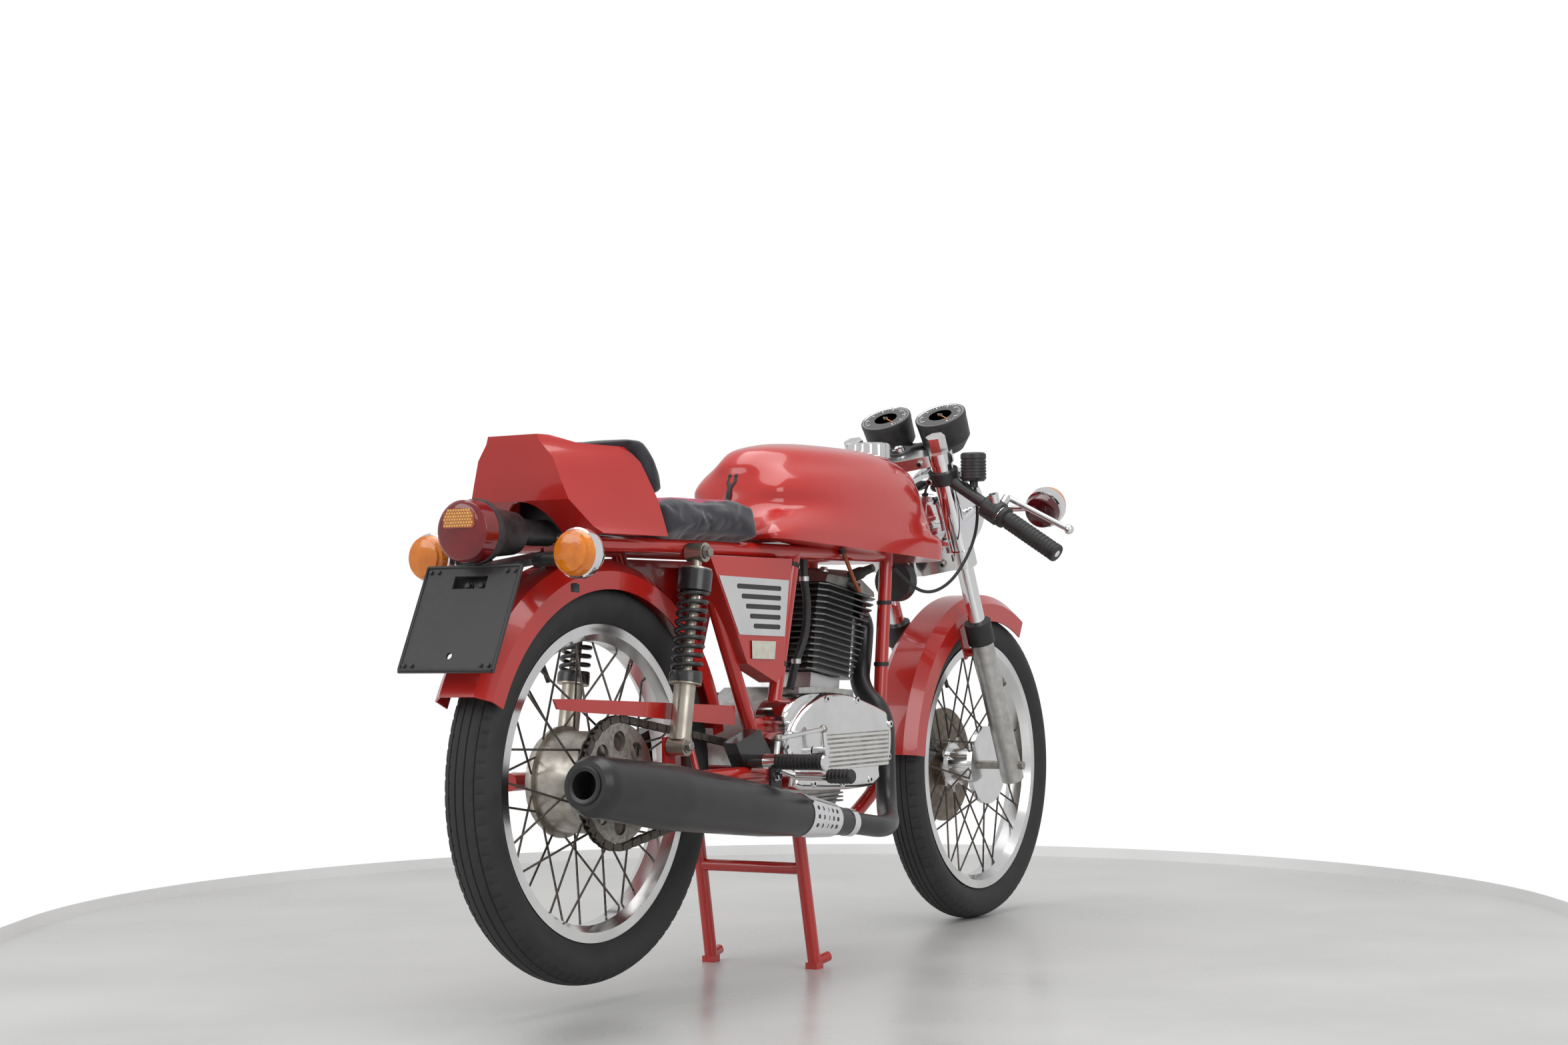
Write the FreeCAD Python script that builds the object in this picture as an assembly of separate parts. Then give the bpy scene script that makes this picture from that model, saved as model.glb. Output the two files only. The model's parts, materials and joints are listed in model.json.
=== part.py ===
import FreeCAD, Part
import math
import os
from FreeCAD import Placement, Rotation, Vector

# A cafe racer motorcycle, parked on its centre stand, in millimetres.
# It is laid out from the rear axle: X forward, Y to the rider's left, Z up from the floor.
# Each part is moved by one common offset when it is written, so that the
# origin of the finished model lies under the middle of its length.

# Driving dimensions: chassis
wheelbase = 1300.0
stand_lift = 32.0
rake_deg = 25.2
yoke_offset = 32.0
tyre_clearance = 26.0
rail_height = 700.0
rail_half_gap = 78.0
post_half_gap = 92.0
frame_tube_radius = 12.0
backbone_radius = 17.0
head_tube_radius = 25.0
head_tube_length = 168.0
lower_yoke_along = 430.0
lower_yoke_thickness = 36.0
top_yoke_thickness = 22.0
yoke_gap = 4.0
cradle_height = 238.0
cradle_half_gap = 62.0
pivot_height = 335.0
swingarm_half_gap = 113.0
swingarm_tube_radius = 14.0
plate_wall = 6.0

# Driving dimensions: wheels
rear_tyre_radius = 306.0
rear_tyre_width = 84.0
front_tyre_radius = 300.0
front_tyre_width = 76.0
rim_radius = 241.5
rim_bed_radius = 229.0
rim_well_radius = 219.0
rim_width = 54.0
rim_wall = 3.0
spoke_count = 36
spoke_radius = 1.75
rear_hub_radius = 78.0
rear_hub_width = 96.0
front_hub_radius = 32.0
front_hub_width = 84.0
front_plate_radius = 76.0
flange_radius = 86.0
front_flange_radius = 42.0
flange_width = 5.0
axle_radius = 8.0
running_clearance = 0.05

# Driving dimensions: drive
chain_pitch = 12.7
sprocket_teeth = 48
drive_teeth = 15
chain_height = 11.6
chain_width = 15.0
chain_line = 62.0
sprocket_thickness = 6.0

# Driving dimensions: suspension
fork_half_gap = 88.0
stanchion_radius = 16.0
slider_radius = 22.0
gaiter_radius = 26.0
shroud_radius = 21.0
fork_length = 692.0
shock_half_gap = 107.0
shock_body_radius = 17.0
spring_radius = 25.5
spring_wire_radius = 3.6
spring_turns = 12

# Driving dimensions: engine
crankcase_half_width = 100.0
cover_depth = 77.5
fin_count = 15
fin_thickness = 2.6
fin_half_width = 85.0
barrel_radius = 38.0
cylinder_lean_deg = 9.0
cylinder_height = 205.0

# Driving dimensions: exhaust
silencer_side = 200.0
silencer_radius = 49.0
exhaust_pipe_radius = 18.0
shield_wall = 1.5
shield_standoff = 5.0

# Driving dimensions: bodywork
tank_half_width = 140.0
tank_height = 192.0
cowl_half_width = 115.0
cowl_wall = 3.0
seat_height = 68.0
side_cover_half_gap = 112.0
footrest_half_gap = 118.0
mudguard_wall = 2.5
rear_mudguard_half_width = 52.0
front_mudguard_half_width = 50.0

# Driving dimensions: controls and lamps
gauge_radius = 49.0
gauge_depth = 72.0
gauge_half_gap = 59.0
gauge_tilt_deg = 31.0
grip_radius = 16.0
grip_length = 125.0
bar_radius = 11.0
mirror_hole_radius = 4.25
mirror_hole_depth = 16.0
mirror_boss_radius = 9.0
mirror_boss_height = 38.0
headlamp_radius = 76.0
indicator_radius = 37.0
tail_lamp_radius = 46.0
plate_width = 172.0
plate_height = 168.0
plate_thickness = 4.0
disc_radius = 112.0
disc_thickness = 5.0
disc_line = 58.0
cable_radius = 3.0

# Driving dimensions: centre stand
stand_leg_radius = 11.0
stand_half_gap = 100.0
stand_pivot_height = 258.0
stand_foot_reach = 48.0

# Clearances
seat_gap = 0.3
moving_gap = 6.0
cut_overrun = 5.0

# Derived places
rear_axle = Vector(0, 0, rear_tyre_radius + stand_lift)
front_axle = Vector(wheelbase, 0, front_tyre_radius)
rake = math.radians(rake_deg)
up_fork = Vector(-math.sin(rake), 0, math.cos(rake))
ahead_of_fork = Vector(math.cos(rake), 0, math.sin(rake))
to_left = Vector(0, 1, 0)
to_top = Vector(0, 0, 1)
to_front = Vector(1, 0, 0)
shapes = {}


def chassis_point(x_share, y, z):
    """A point of the chassis, its X given as a share of the wheelbase."""
    return Vector(x_share * wheelbase, y, z)


def fork_point(along, side, ahead):
    """A point in the fork's own frame, measured from the front axle."""
    return front_axle + up_fork * along + to_left * side + ahead_of_fork * ahead


def mirrored(shape):
    """The same shape on the other side of the motorcycle."""
    return shape.mirror(Vector(0, 0, 0), to_left)


def both_sides(shape):
    """A pair of like solids, left and right."""
    return Part.makeCompound([shape, mirrored(shape)])


def fused(pieces):
    """One solid from pieces that meet."""
    whole = pieces[0].fuse(pieces[1:])
    return whole.removeSplitter()


def rod(start, end, radius):
    """A round bar from one point to another."""
    run = end - start
    return Part.makeCylinder(radius, run.Length, start, run)


def sleeve(start, end, outer, inner):
    """A round tube from one point to another."""
    return rod(start, end, outer).cut(rod(start, end, inner))


def slab(low, high):
    """A box between two corners."""
    size = high - low
    return Part.makeBox(size.x, size.y, size.z, low)


def side_plate(outline, y_low, y_high):
    """A flat plate with its outline in the XZ plane, from one Y to another."""
    points = [Vector(x, y_low, z) for x, z in outline]
    face = Part.Face(Part.makePolygon(points + points[:1]))
    return face.extrude(Vector(0, y_high - y_low, 0))


def turned(profile, centre, axis):
    """A solid of revolution; the profile is (distance along the axis, radius)."""
    across = to_left.cross(axis)
    if across.Length < running_clearance:
        across = to_top
    across.normalize()
    points = [centre + axis * along + across * radius for along, radius in profile]
    face = Part.Face(Part.makePolygon(points + points[:1]))
    return face.revolve(centre, axis, 360)


def rounded_route(points, bend_share):
    """Straight runs joined by tangent arcs, as large as the runs allow."""
    edges = []
    last = points[0]
    for before, corner, after in zip(points, points[1:], points[2:]):
        into = corner - before
        out = after - corner
        reach = bend_share * min(into.Length, out.Length)
        turn = into.getAngle(out)
        radius = reach / math.tan(turn / 2)
        into.normalize()
        out.normalize()
        start = corner - into * reach
        end = corner + out * reach
        inward = out - into
        inward.normalize()
        middle = corner + inward * (radius / math.cos(turn / 2) - radius)
        edges.append(Part.LineSegment(last, start).toShape())
        edges.append(Part.Arc(start, middle, end).toShape())
        last = end
    edges.append(Part.LineSegment(last, points[-1]).toShape())
    return Part.Wire(edges)


def bent_tube(points, radius, bend_share):
    """A round bar along a bent route."""
    route = rounded_route(points, bend_share)
    section = Part.Wire(Part.Circle(points[0], points[1] - points[0], radius).toShape())
    return route.makePipeShell([section], True, True)


def lofted(sections):
    """A smooth solid through closed wires."""
    return Part.makeLoft(sections, True, False)


def closed_outline(points):
    """A closed polygon wire."""
    return Part.makePolygon(points + points[:1])


def add(name, shape):
    """Keep a finished part under its name."""
    shapes[name] = shape


# Wheels

def tyre(centre, radius, width):
    """A tyre: tread, shoulders and sidewalls, seated between the rim flanges."""
    seat = rim_bed_radius + seat_gap
    lip = rim_width / 2 - rim_wall - seat_gap
    flank_share = (0.45, 0.80, 0.96)
    depth = radius - rim_radius
    half = width / 2
    profile = [
        (-lip, seat), (-lip, rim_radius), (-half, rim_radius + flank_share[0] * depth),
        (-flank_share[1] * half, rim_radius + flank_share[1] * depth),
        (-flank_share[0] * half, rim_radius + flank_share[2] * depth),
        (0, radius),
        (flank_share[0] * half, rim_radius + flank_share[2] * depth),
        (flank_share[1] * half, rim_radius + flank_share[1] * depth),
        (half, rim_radius + flank_share[0] * depth), (lip, rim_radius), (lip, seat),
    ]
    return turned(profile, centre, to_left)


def rim(centre):
    """An alloy rim with rolled flanges and a dropped centre."""
    half = rim_width / 2
    well_share = 0.45
    well = half * well_share
    profile = [
        (-half, rim_radius), (-half, rim_bed_radius - rim_wall), (-well, rim_well_radius - rim_wall),
        (well, rim_well_radius - rim_wall), (half, rim_bed_radius - rim_wall), (half, rim_radius),
        (half - rim_wall, rim_radius), (half - rim_wall, rim_bed_radius), (well, rim_well_radius),
        (-well, rim_well_radius), (-half + rim_wall, rim_bed_radius), (-half + rim_wall, rim_radius),
    ]
    return turned(profile, centre, to_left)


def spokes(centre, hub_radius, flange_lines):
    """Crossed spokes from the two flanges to the inside of the rim."""
    cross_share = 0.42
    per_side = spoke_count // 2
    pitch = 2 * math.pi / per_side
    end_radius = rim_well_radius - rim_wall - seat_gap
    made = []
    for side, line in enumerate(flange_lines):
        for index in range(per_side):
            lead = cross_share if index % 2 else -cross_share
            hub_angle = pitch * (index + side / 2)
            rim_angle = hub_angle + lead
            start = centre + Vector(math.cos(hub_angle) * hub_radius, line,
                                    math.sin(hub_angle) * hub_radius)
            end = centre + Vector(math.cos(rim_angle) * end_radius, 0,
                                  math.sin(rim_angle) * end_radius)
            run = end - start
            run.normalize()
            made.append(rod(start, end - run * spoke_radius * 0.4, spoke_radius))
    return made


def rear_wheel():
    """Rear tyre, rim, drum hub with its spokes, and sprocket."""
    add("rear_tyre", tyre(rear_axle, rear_tyre_radius, rear_tyre_width))
    add("rear_rim", rim(rear_axle))
    half = rear_hub_width / 2
    bore = axle_radius + running_clearance
    step_share = 0.86
    profile = [
        (-half, bore), (-half, rear_hub_radius * step_share), (-half + flange_width, rear_hub_radius),
        (-half + flange_width, flange_radius), (-half + 2 * flange_width, flange_radius),
        (-half + 2 * flange_width, rear_hub_radius), (half - 2 * flange_width, rear_hub_radius),
        (half - 2 * flange_width, flange_radius), (half - flange_width, flange_radius),
        (half - flange_width, rear_hub_radius), (half, rear_hub_radius), (half, bore),
    ]
    drum = turned(profile, rear_axle, to_left)
    line = half - flange_width * 3 / 2
    root = (rear_hub_radius + flange_radius) / 2
    add("rear_hub", fused([drum] + spokes(rear_axle, root, (-line, line))))
    add("rear_sprocket", sprocket())


def sprocket_radius(teeth):
    """Pitch radius of a chain wheel."""
    return chain_pitch / (2 * math.sin(math.pi / teeth))


def sprocket():
    """The rear chain wheel, with lightening holes, bolted to the hub."""
    hole_share = 0.17
    hole_line_share = 0.70
    hole_count = 8
    outer = sprocket_radius(sprocket_teeth) - chain_height / 2 - seat_gap * 2
    low = -chain_line - sprocket_thickness / 2
    high = -chain_line + sprocket_thickness / 2
    plate = rod(rear_axle + to_left * low, rear_axle + to_left * high, outer)
    boss = rod(rear_axle + to_left * high, rear_axle - to_left * rear_hub_width / 2,
               outer * hole_share * 2)
    bore = rod(rear_axle + to_left * (low - cut_overrun), rear_axle, axle_radius + running_clearance)
    holes = []
    for index in range(hole_count):
        angle = 2 * math.pi * index / hole_count
        place = rear_axle + Vector(math.cos(angle), 0, math.sin(angle)) * outer * hole_line_share
        holes.append(rod(place + to_left * (low - cut_overrun), place + to_left * (high + cut_overrun),
                         outer * hole_share))
    return fused([plate, boss]).cut([bore] + holes)


def front_wheel():
    """Front tyre, rim, slim hub with its spokes, and brake disc."""
    add("front_tyre", tyre(front_axle, front_tyre_radius, front_tyre_width))
    add("front_rim", rim(front_axle))
    half = front_hub_width / 2
    bore = axle_radius + running_clearance
    plate_depth = flange_width * 2
    profile = [
        (-half, bore), (-half, front_plate_radius), (-half + plate_depth, front_plate_radius),
        (-half + plate_depth, front_hub_radius), (half - flange_width, front_hub_radius),
        (half - flange_width, front_flange_radius), (half, front_flange_radius), (half, bore),
    ]
    barrel = turned(profile, front_axle, to_left)
    right = spokes(front_axle, front_plate_radius - flange_width, (-half + plate_depth / 2,))
    left = spokes(front_axle, front_flange_radius - flange_width, (half - flange_width / 2,))
    add("front_hub", fused([barrel] + right + left))
    inner = disc_line - disc_thickness / 2
    carrier = rod(front_axle + to_left * half, front_axle + to_left * inner, front_flange_radius)
    plate = rod(front_axle + to_left * inner, front_axle + to_left * (inner + disc_thickness), disc_radius)
    hole = rod(front_axle, front_axle + to_left * (inner + disc_thickness + cut_overrun), bore)
    add("brake_disc", fused([plate, carrier]).cut(hole))


# Chain

def chain_loop(offset, y_low, y_high):
    """A solid over the chain's loop, grown or shrunk by an offset."""
    big = sprocket_radius(sprocket_teeth) + offset
    small = sprocket_radius(drive_teeth) + offset
    centre_big = Vector(rear_axle.x, 0, rear_axle.z)
    centre_small = Vector(drive_shaft.x, 0, drive_shaft.z)
    run = centre_small - centre_big
    tilt = math.atan2(run.z, run.x)
    wrap = math.acos((big - small) / run.Length)
    upper = tilt + wrap
    lower = tilt - wrap

    def on(centre, radius, angle):
        return Vector(centre.x + radius * math.cos(angle), y_low, centre.z + radius * math.sin(angle))

    edges = [
        Part.LineSegment(on(centre_big, big, upper), on(centre_small, small, upper)).toShape(),
        Part.Arc(on(centre_small, small, upper), on(centre_small, small, tilt),
                 on(centre_small, small, lower)).toShape(),
        Part.LineSegment(on(centre_small, small, lower), on(centre_big, big, lower)).toShape(),
        Part.Arc(on(centre_big, big, lower), on(centre_big, big, tilt + math.pi),
                 on(centre_big, big, upper)).toShape(),
    ]
    return Part.Face(Part.Wire(edges)).extrude(Vector(0, y_high - y_low, 0))


def drive_chain():
    """The chain as one closed band round both chain wheels."""
    low = -chain_line - chain_width / 2
    high = -chain_line + chain_width / 2
    outside = chain_loop(chain_height / 2, low, high)
    inside = chain_loop(-chain_height / 2, low - cut_overrun, high + cut_overrun)
    add("drive_chain", outside.cut(inside))


# Frame

pivot_share = 0.2692
pivot = chassis_point(pivot_share, 0, pivot_height)
drive_share = 0.328
drive_shaft = chassis_point(drive_share, 0, pivot_height)
post_top_share = 0.384
down_tube_share = 0.635
down_foot_share = 0.597
rail_tail_share = -0.056
stay_top_share = 0.156
cradle_rear_share = 0.345
cradle_turn_share = 0.307
cross_tube_share = 0.85
cross_front_share = 0.36
foot_cross_share = 0.42
post_foot_share = 0.2925
post_foot_height = 350.0
stand_pin_radius = 7.0
stand_pivot_share = 0.3546
stand_pivot_x = stand_pivot_share * wheelbase
stud_radius = 6.0
shock_foot_share = 0.077
shock_foot = Vector(shock_foot_share * wheelbase, 0, rear_axle.z + 52.0)
shock_head_share = 0.121
shock_head = Vector(shock_head_share * wheelbase, 0, rail_height - 10.0)
head_low = lower_yoke_along + lower_yoke_thickness + yoke_gap
head_high = head_low + head_tube_length


def head_point(along):
    """A point on the steering axis."""
    return fork_point(along, 0, -yoke_offset)


def frame():
    """Duplex cradle frame: head, backbone, rails, down tubes, cradle, posts and plates."""
    r = frame_tube_radius
    side = rail_half_gap
    low = cradle_half_gap
    bend = 0.3
    rail_end = head_point(head_low + r * 2)
    rail = bent_tube([chassis_point(rail_tail_share, side, rail_height),
                      chassis_point(down_tube_share, side, rail_height),
                      rail_end + to_left * r], r, bend)
    down = bent_tube([chassis_point(down_tube_share, side, rail_height),
                      chassis_point(down_foot_share, side, cradle_height + r * 4),
                      chassis_point(down_foot_share - 0.045, low, cradle_height),
                      chassis_point(cradle_rear_share, low, cradle_height),
                      chassis_point(cradle_turn_share, post_half_gap, cradle_height + r * 4),
                      chassis_point(post_foot_share, post_half_gap, post_foot_height),
                      chassis_point(post_top_share, side, rail_height)], r, bend)
    stay = rod(chassis_point(stay_top_share, side, rail_height),
               chassis_point(pivot_share, post_half_gap - r / 2, pivot_height + swingarm_tube_radius * 4), r)
    plate = side_plate([(0.243 * wheelbase, pivot_height + 56), (0.262 * wheelbase, pivot_height + 86),
                        (0.318 * wheelbase, pivot_height + 96), (0.305 * wheelbase, pivot_height + 20),
                        (0.318 * wheelbase, pivot_height - 32), (0.290 * wheelbase, pivot_height - 32),
                        (0.250 * wheelbase, pivot_height - 22)], post_half_gap - r / 2 - plate_wall, post_half_gap - r / 2)
    stand_boss = rod(Vector(stand_pivot_x, low, stand_pivot_height),
                     Vector(stand_pivot_x, stand_half_gap + stand_leg_radius + 3, stand_pivot_height),
                     stand_pin_radius)
    stand_lug = side_plate([(stand_pivot_x - 26, cradle_height), (stand_pivot_x + 26, cradle_height),
                            (stand_pivot_x + 12, stand_pivot_height + 12),
                            (stand_pivot_x - 12, stand_pivot_height + 12)], low - 3, low + 9)
    shock_stud = rod(Vector(shock_head.x, side, shock_head.z),
                     Vector(shock_head.x, shock_half_gap + shock_body_radius, shock_head.z), stud_radius)
    backbone = rod(head_point(head_high - backbone_radius * 2),
                   chassis_point(post_top_share, 0, rail_height + backbone_radius), backbone_radius)
    cross_radius = r * cross_tube_share
    cross_front = rod(chassis_point(cross_front_share, -side, rail_height),
                      chassis_point(cross_front_share, side, rail_height), cross_radius)
    seat_cross = rod(Vector(rail_tail_share * wheelbase + r, -side, rail_height),
                     Vector(rail_tail_share * wheelbase + r, side, rail_height), cross_radius)
    foot_cross = rod(chassis_point(foot_cross_share, -low, cradle_height),
                     chassis_point(foot_cross_share, low, cradle_height), cross_radius)
    head = rod(head_point(head_low), head_point(head_high), head_tube_radius)
    gusset = slab(Vector(0.735 * wheelbase, -r * 4, rail_height + 8), Vector(0.80 * wheelbase, r * 4, rail_height + 14))
    pieces = [head, backbone, cross_front, seat_cross, foot_cross, gusset]
    for half in (rail, down, stay, plate, stand_boss, stand_lug, shock_stud):
        pieces += [half, mirrored(half)]
    core = rod(head_point(head_low - cut_overrun), head_point(head_high + cut_overrun),
               head_tube_radius - frame_tube_radius / 2)
    pivot_bore = rod(Vector(pivot.x, -side * 2, pivot.z), Vector(pivot.x, side * 2, pivot.z),
                     swingarm_tube_radius - 2)
    add("frame", fused(pieces).cut([core, pivot_bore]))


def swingarm():
    """Two arms on a pivot tube, with shock lugs over the axle."""
    r = swingarm_tube_radius
    arm = rod(Vector(-r * 3, swingarm_half_gap, rear_axle.z - 0.2),
              Vector(pivot.x, swingarm_half_gap, pivot.z), r)
    lug_out = shock_half_gap - shock_body_radius
    lug_in = lug_out - plate_wall
    lug = slab(Vector(shock_foot.x - r, lug_in, rear_axle.z - r / 2), Vector(shock_foot.x + r, lug_out, shock_foot.z + r))
    web = slab(Vector(shock_foot.x - r, lug_in, rear_axle.z - r / 2),
               Vector(shock_foot.x + r, swingarm_half_gap, rear_axle.z + r / 2))
    stud = rod(Vector(shock_foot.x, lug_in, shock_foot.z),
               Vector(shock_foot.x, shock_half_gap + shock_body_radius, shock_foot.z), stud_radius)
    tube = rod(Vector(pivot.x, -swingarm_half_gap, pivot.z), Vector(pivot.x, swingarm_half_gap, pivot.z), r - 2)
    eye = rod(Vector(pivot.x, swingarm_half_gap - r - 2, pivot.z),
              Vector(pivot.x, swingarm_half_gap + r + 2, pivot.z), r * 1.5)
    axle_hole = rod(rear_axle - to_left * (swingarm_half_gap + r * 2),
                    rear_axle + to_left * (swingarm_half_gap + r * 2), axle_radius)
    pieces = [tube]
    for half in (arm, lug, web, stud, eye):
        pieces += [half, mirrored(half)]
    add("swingarm", fused(pieces).cut(axle_hole))


def shock_place(side):
    """The lower and upper eyes of a damper."""
    return shock_foot + to_left * side, shock_head + to_left * side


def dampers():
    """Two dampers with eyes at both ends and a collar under each spring."""
    made = []
    for side in (-shock_half_gap, shock_half_gap):
        foot, top = shock_place(side)
        line = top - foot
        line.normalize()
        eye = shock_body_radius * 0.9
        body = rod(foot + line * eye * 0.6, foot + line * 110, shock_body_radius)
        collar = rod(foot + line * 96, foot + line * 100, spring_radius)
        stem = rod(foot + line * 100, top - line * eye * 0.6, shock_body_radius * 0.5)
        hat = rod(top - line * 30, top - line * 26, spring_radius)
        pieces = [body, collar, stem, hat]
        for centre in (foot, top):
            pieces.append(rod(centre - to_left * eye, centre + to_left * eye, eye))
        whole = fused(pieces)
        for centre in (foot, top):
            whole = whole.cut(rod(centre - to_left * eye * 2, centre + to_left * eye * 2, stud_radius))
        made.append(whole)
    add("rear_dampers", Part.makeCompound(made))


def springs():
    """Coil springs round the dampers."""
    made = []
    for side in (-shock_half_gap, shock_half_gap):
        foot, top = shock_place(side)
        line = top - foot
        length = line.Length
        line.normalize()
        start = 100 + spring_wire_radius
        end = length - 30 - spring_wire_radius
        coil = spring_radius - spring_wire_radius
        helix = Part.makeHelix((end - start) / spring_turns, end - start, coil)
        section = Part.Wire(Part.Circle(Vector(coil, 0, 0), to_left, spring_wire_radius).toShape())
        wire = Part.Wire(helix).makePipeShell([section], True, True)
        wire.Placement = Placement(foot + line * start, Rotation(to_top, line))
        made.append(wire)
    add("rear_springs", Part.makeCompound(made))


def rear_axle_set():
    """Rear axle, its nuts and spacers, and the brake plate with its arm."""
    end = swingarm_half_gap + swingarm_tube_radius
    bar = rod(rear_axle - to_left * (end + 16), rear_axle + to_left * (end + 16), axle_radius)
    right = rod(rear_axle - to_left * (swingarm_half_gap - swingarm_tube_radius),
                rear_axle - to_left * (chain_line + sprocket_thickness / 2 + seat_gap), axle_radius * 1.6)
    left = rod(rear_axle + to_left * (swingarm_half_gap - swingarm_tube_radius),
               rear_axle + to_left * (rear_hub_width / 2 + 3), axle_radius * 1.6)
    plate = rod(rear_axle + to_left * (rear_hub_width / 2 + 1),
                rear_axle + to_left * (rear_hub_width / 2 + 7), rear_hub_radius)
    nuts = [rod(rear_axle + to_left * s * end, rear_axle + to_left * s * (end + 10), axle_radius * 1.6)
            for s in (-1, 1)]
    whole = fused([bar, right, left, plate] + nuts)
    add("rear_axle", whole.cut(shapes["swingarm"]))


# Engine

bay_rear = 0.312 * wheelbase
bay_front = 0.606 * wheelbase
bay = bay_front - bay_rear
cover_low = cradle_height + 59.0
cover_height = 165.0
cover_rear_share = -0.09
cover_front_share = 0.836


def bay_x(share):
    """A place along the engine bay."""
    return bay_rear + bay * share


def cover_point(x_share, z_share):
    """A point of the side cover's outline."""
    low = bay_x(cover_rear_share)
    high = bay_x(cover_front_share)
    return low + (high - low) * x_share, cover_low + cover_height * z_share


def engine():
    """Crankcase, finned cylinder with its head, and the two side covers."""
    cover_shares = ((0.03, 0.65), (0.14, 0.84), (0.26, 0.945), (0.38, 1.0), (0.58, 0.97), (0.77, 0.88),
                    (0.94, 0.78), (0.96, 0.70), (1.0, 0.55), (0.97, 0.23), (0.86, 0.21), (0.80, 0.0),
                    (0.09, 0.05), (0.05, 0.19), (0.0, 0.41), (0.0, 0.61))
    outline = [cover_point(x, z) for x, z in cover_shares]
    inner = chain_line + chain_width / 2 + 3
    case_outline = [cover_point(x, z) for x, z in
                    ((0.30, -0.12), (0.78, -0.12), (0.90, 0.15), (0.97, 0.55), (0.95, 1.0), (0.60, 1.05),
                     (0.40, 1.05), (0.16, 0.80), (0.06, 0.55), (0.12, 0.15))]
    case = side_plate(case_outline, -inner, inner)
    chain_bay = slab(Vector(bay_rear - bay, -inner - 1, cover_low - cover_height),
                     Vector(bay_x(0.30), -chain_line + chain_width / 2 + 4, cover_low + cover_height * 2))
    boss = rod(Vector(drive_shaft.x, -chain_line + chain_width / 2 + 4, drive_shaft.z),
               Vector(drive_shaft.x, -inner + 1, drive_shaft.z), sprocket_radius(drive_teeth) * 0.5)
    case = case.cut(chain_bay)
    case = fused([case, boss])
    right = side_plate(outline, -inner - cover_depth, -inner).cut(shapes["frame"])
    add("crankcase", case.cut(shapes["frame"]))
    add("engine_covers", both_sides(right))
    cylinder()


def cylinder():
    """Barrel leaning forward, square fins and a faceted head."""
    lean = Rotation(to_left, cylinder_lean_deg)
    base = Vector(bay_x(0.628), 0, cover_low + cover_height)
    height = (rail_height - 24 - base.z) / math.cos(math.radians(cylinder_lean_deg))
    neck = height * 0.13
    pitch = (height * 0.86 - neck) / fin_count
    pieces = [Part.makeCylinder(barrel_radius * 1.25, height, Vector(0, 0, 0))]
    for index in range(fin_count):
        grow = index / fin_count
        rear = -78.0
        front = 72.0 + 42.0 * grow
        low = neck + pitch * index
        half = fin_half_width * (0.82 + 0.18 * min(1.0, grow * 2))
        pieces.append(slab(Vector(rear, -half, low), Vector(front, half, low + fin_thickness)))
    core = slab(Vector(-58, -fin_half_width * 0.68, neck), Vector(70, fin_half_width * 0.68, height * 0.88))
    head = slab(Vector(-55, -fin_half_width * 0.8, height * 0.84), Vector(75, fin_half_width * 0.8, height))
    pieces += [core, head]
    whole = fused(pieces)
    whole.Placement = Placement(base, lean)
    add("cylinder", whole.cut(shapes["crankcase"]))


def carburettor():
    """Carburettor body, bowl and intake bell behind the cylinder."""
    port = Vector(bay_x(0.628) - 62.0, 0, cover_low + cover_height * 1.05 + 95.0)
    back = port - to_front * 95
    body = rod(port, back, 17.0)
    bowl = rod(port - to_front * 45 - to_top * 40, port - to_front * 45, 21.0)
    slide = rod(port - to_front * 45, port - to_front * 45 + to_top * 48, 15.0)
    add("carburettor", fused([body, bowl, slide]).cut(shapes["cylinder"]))


# Exhaust

silencer_rear = Vector(-278.0, -silencer_side, 353.0)
silencer_front_share = 0.3615
silencer_front = Vector(silencer_front_share * wheelbase, -silencer_side, 249.0)


def exhaust():
    """Header pipe, tapered silencer and perforated heat shield."""
    line = silencer_front - silencer_rear
    length = line.Length
    line.normalize()
    r = silencer_radius
    profile_shares = ((0.0, 0.45), (0.0, 0.72), (0.02, 0.88), (0.27, 1.0), (0.62, 0.83), (0.82, 0.62),
                      (0.99, 0.41), (1.0, 0.40))
    profile = [(length * a, r * b) for a, b in profile_shares]
    profile += [(length, 0), (40.0, 0), (40.0, r * 0.45)]
    silencer = turned(profile, silencer_rear, line)
    add("silencer", silencer)
    wall = exhaust_pipe_radius
    port = Vector(bay_x(0.628) + 130.0, -30.0, 600.0)
    points = [port, port + Vector(52, 0, -12), port + Vector(34, -5, -72), port + Vector(-18, -25, -134),
              port + Vector(-27, -82, -182), Vector(port.x - 40, port.y - 90, silencer_front.z + 10),
              silencer_front + line * 135, silencer_front]
    pipe = bent_tube(points, wall, 0.45)
    add("exhaust_pipe", pipe.cut(shapes["cylinder"]).cut(silencer))
    shield_shares = ((0.765, 0.678), (0.82, 0.64), (0.90, 0.54))
    inner = [(length * a, r * b + seat_gap) for a, b in shield_shares]
    outer = [(along, radius + shield_wall) for along, radius in reversed(inner)]
    ring = turned(inner + outer, silencer_rear, line)
    start = silencer_rear + line * inner[0][0]
    end = silencer_rear + line * inner[-1][0]
    keep = slab(Vector(start.x - 60, -silencer_side - 90, 0), Vector(end.x + 60, -silencer_side + 5, rail_height))
    add("heat_shield", ring.common(keep).cut(silencer))


# Bodywork

tank_rear = 0.277 * wheelbase


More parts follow.
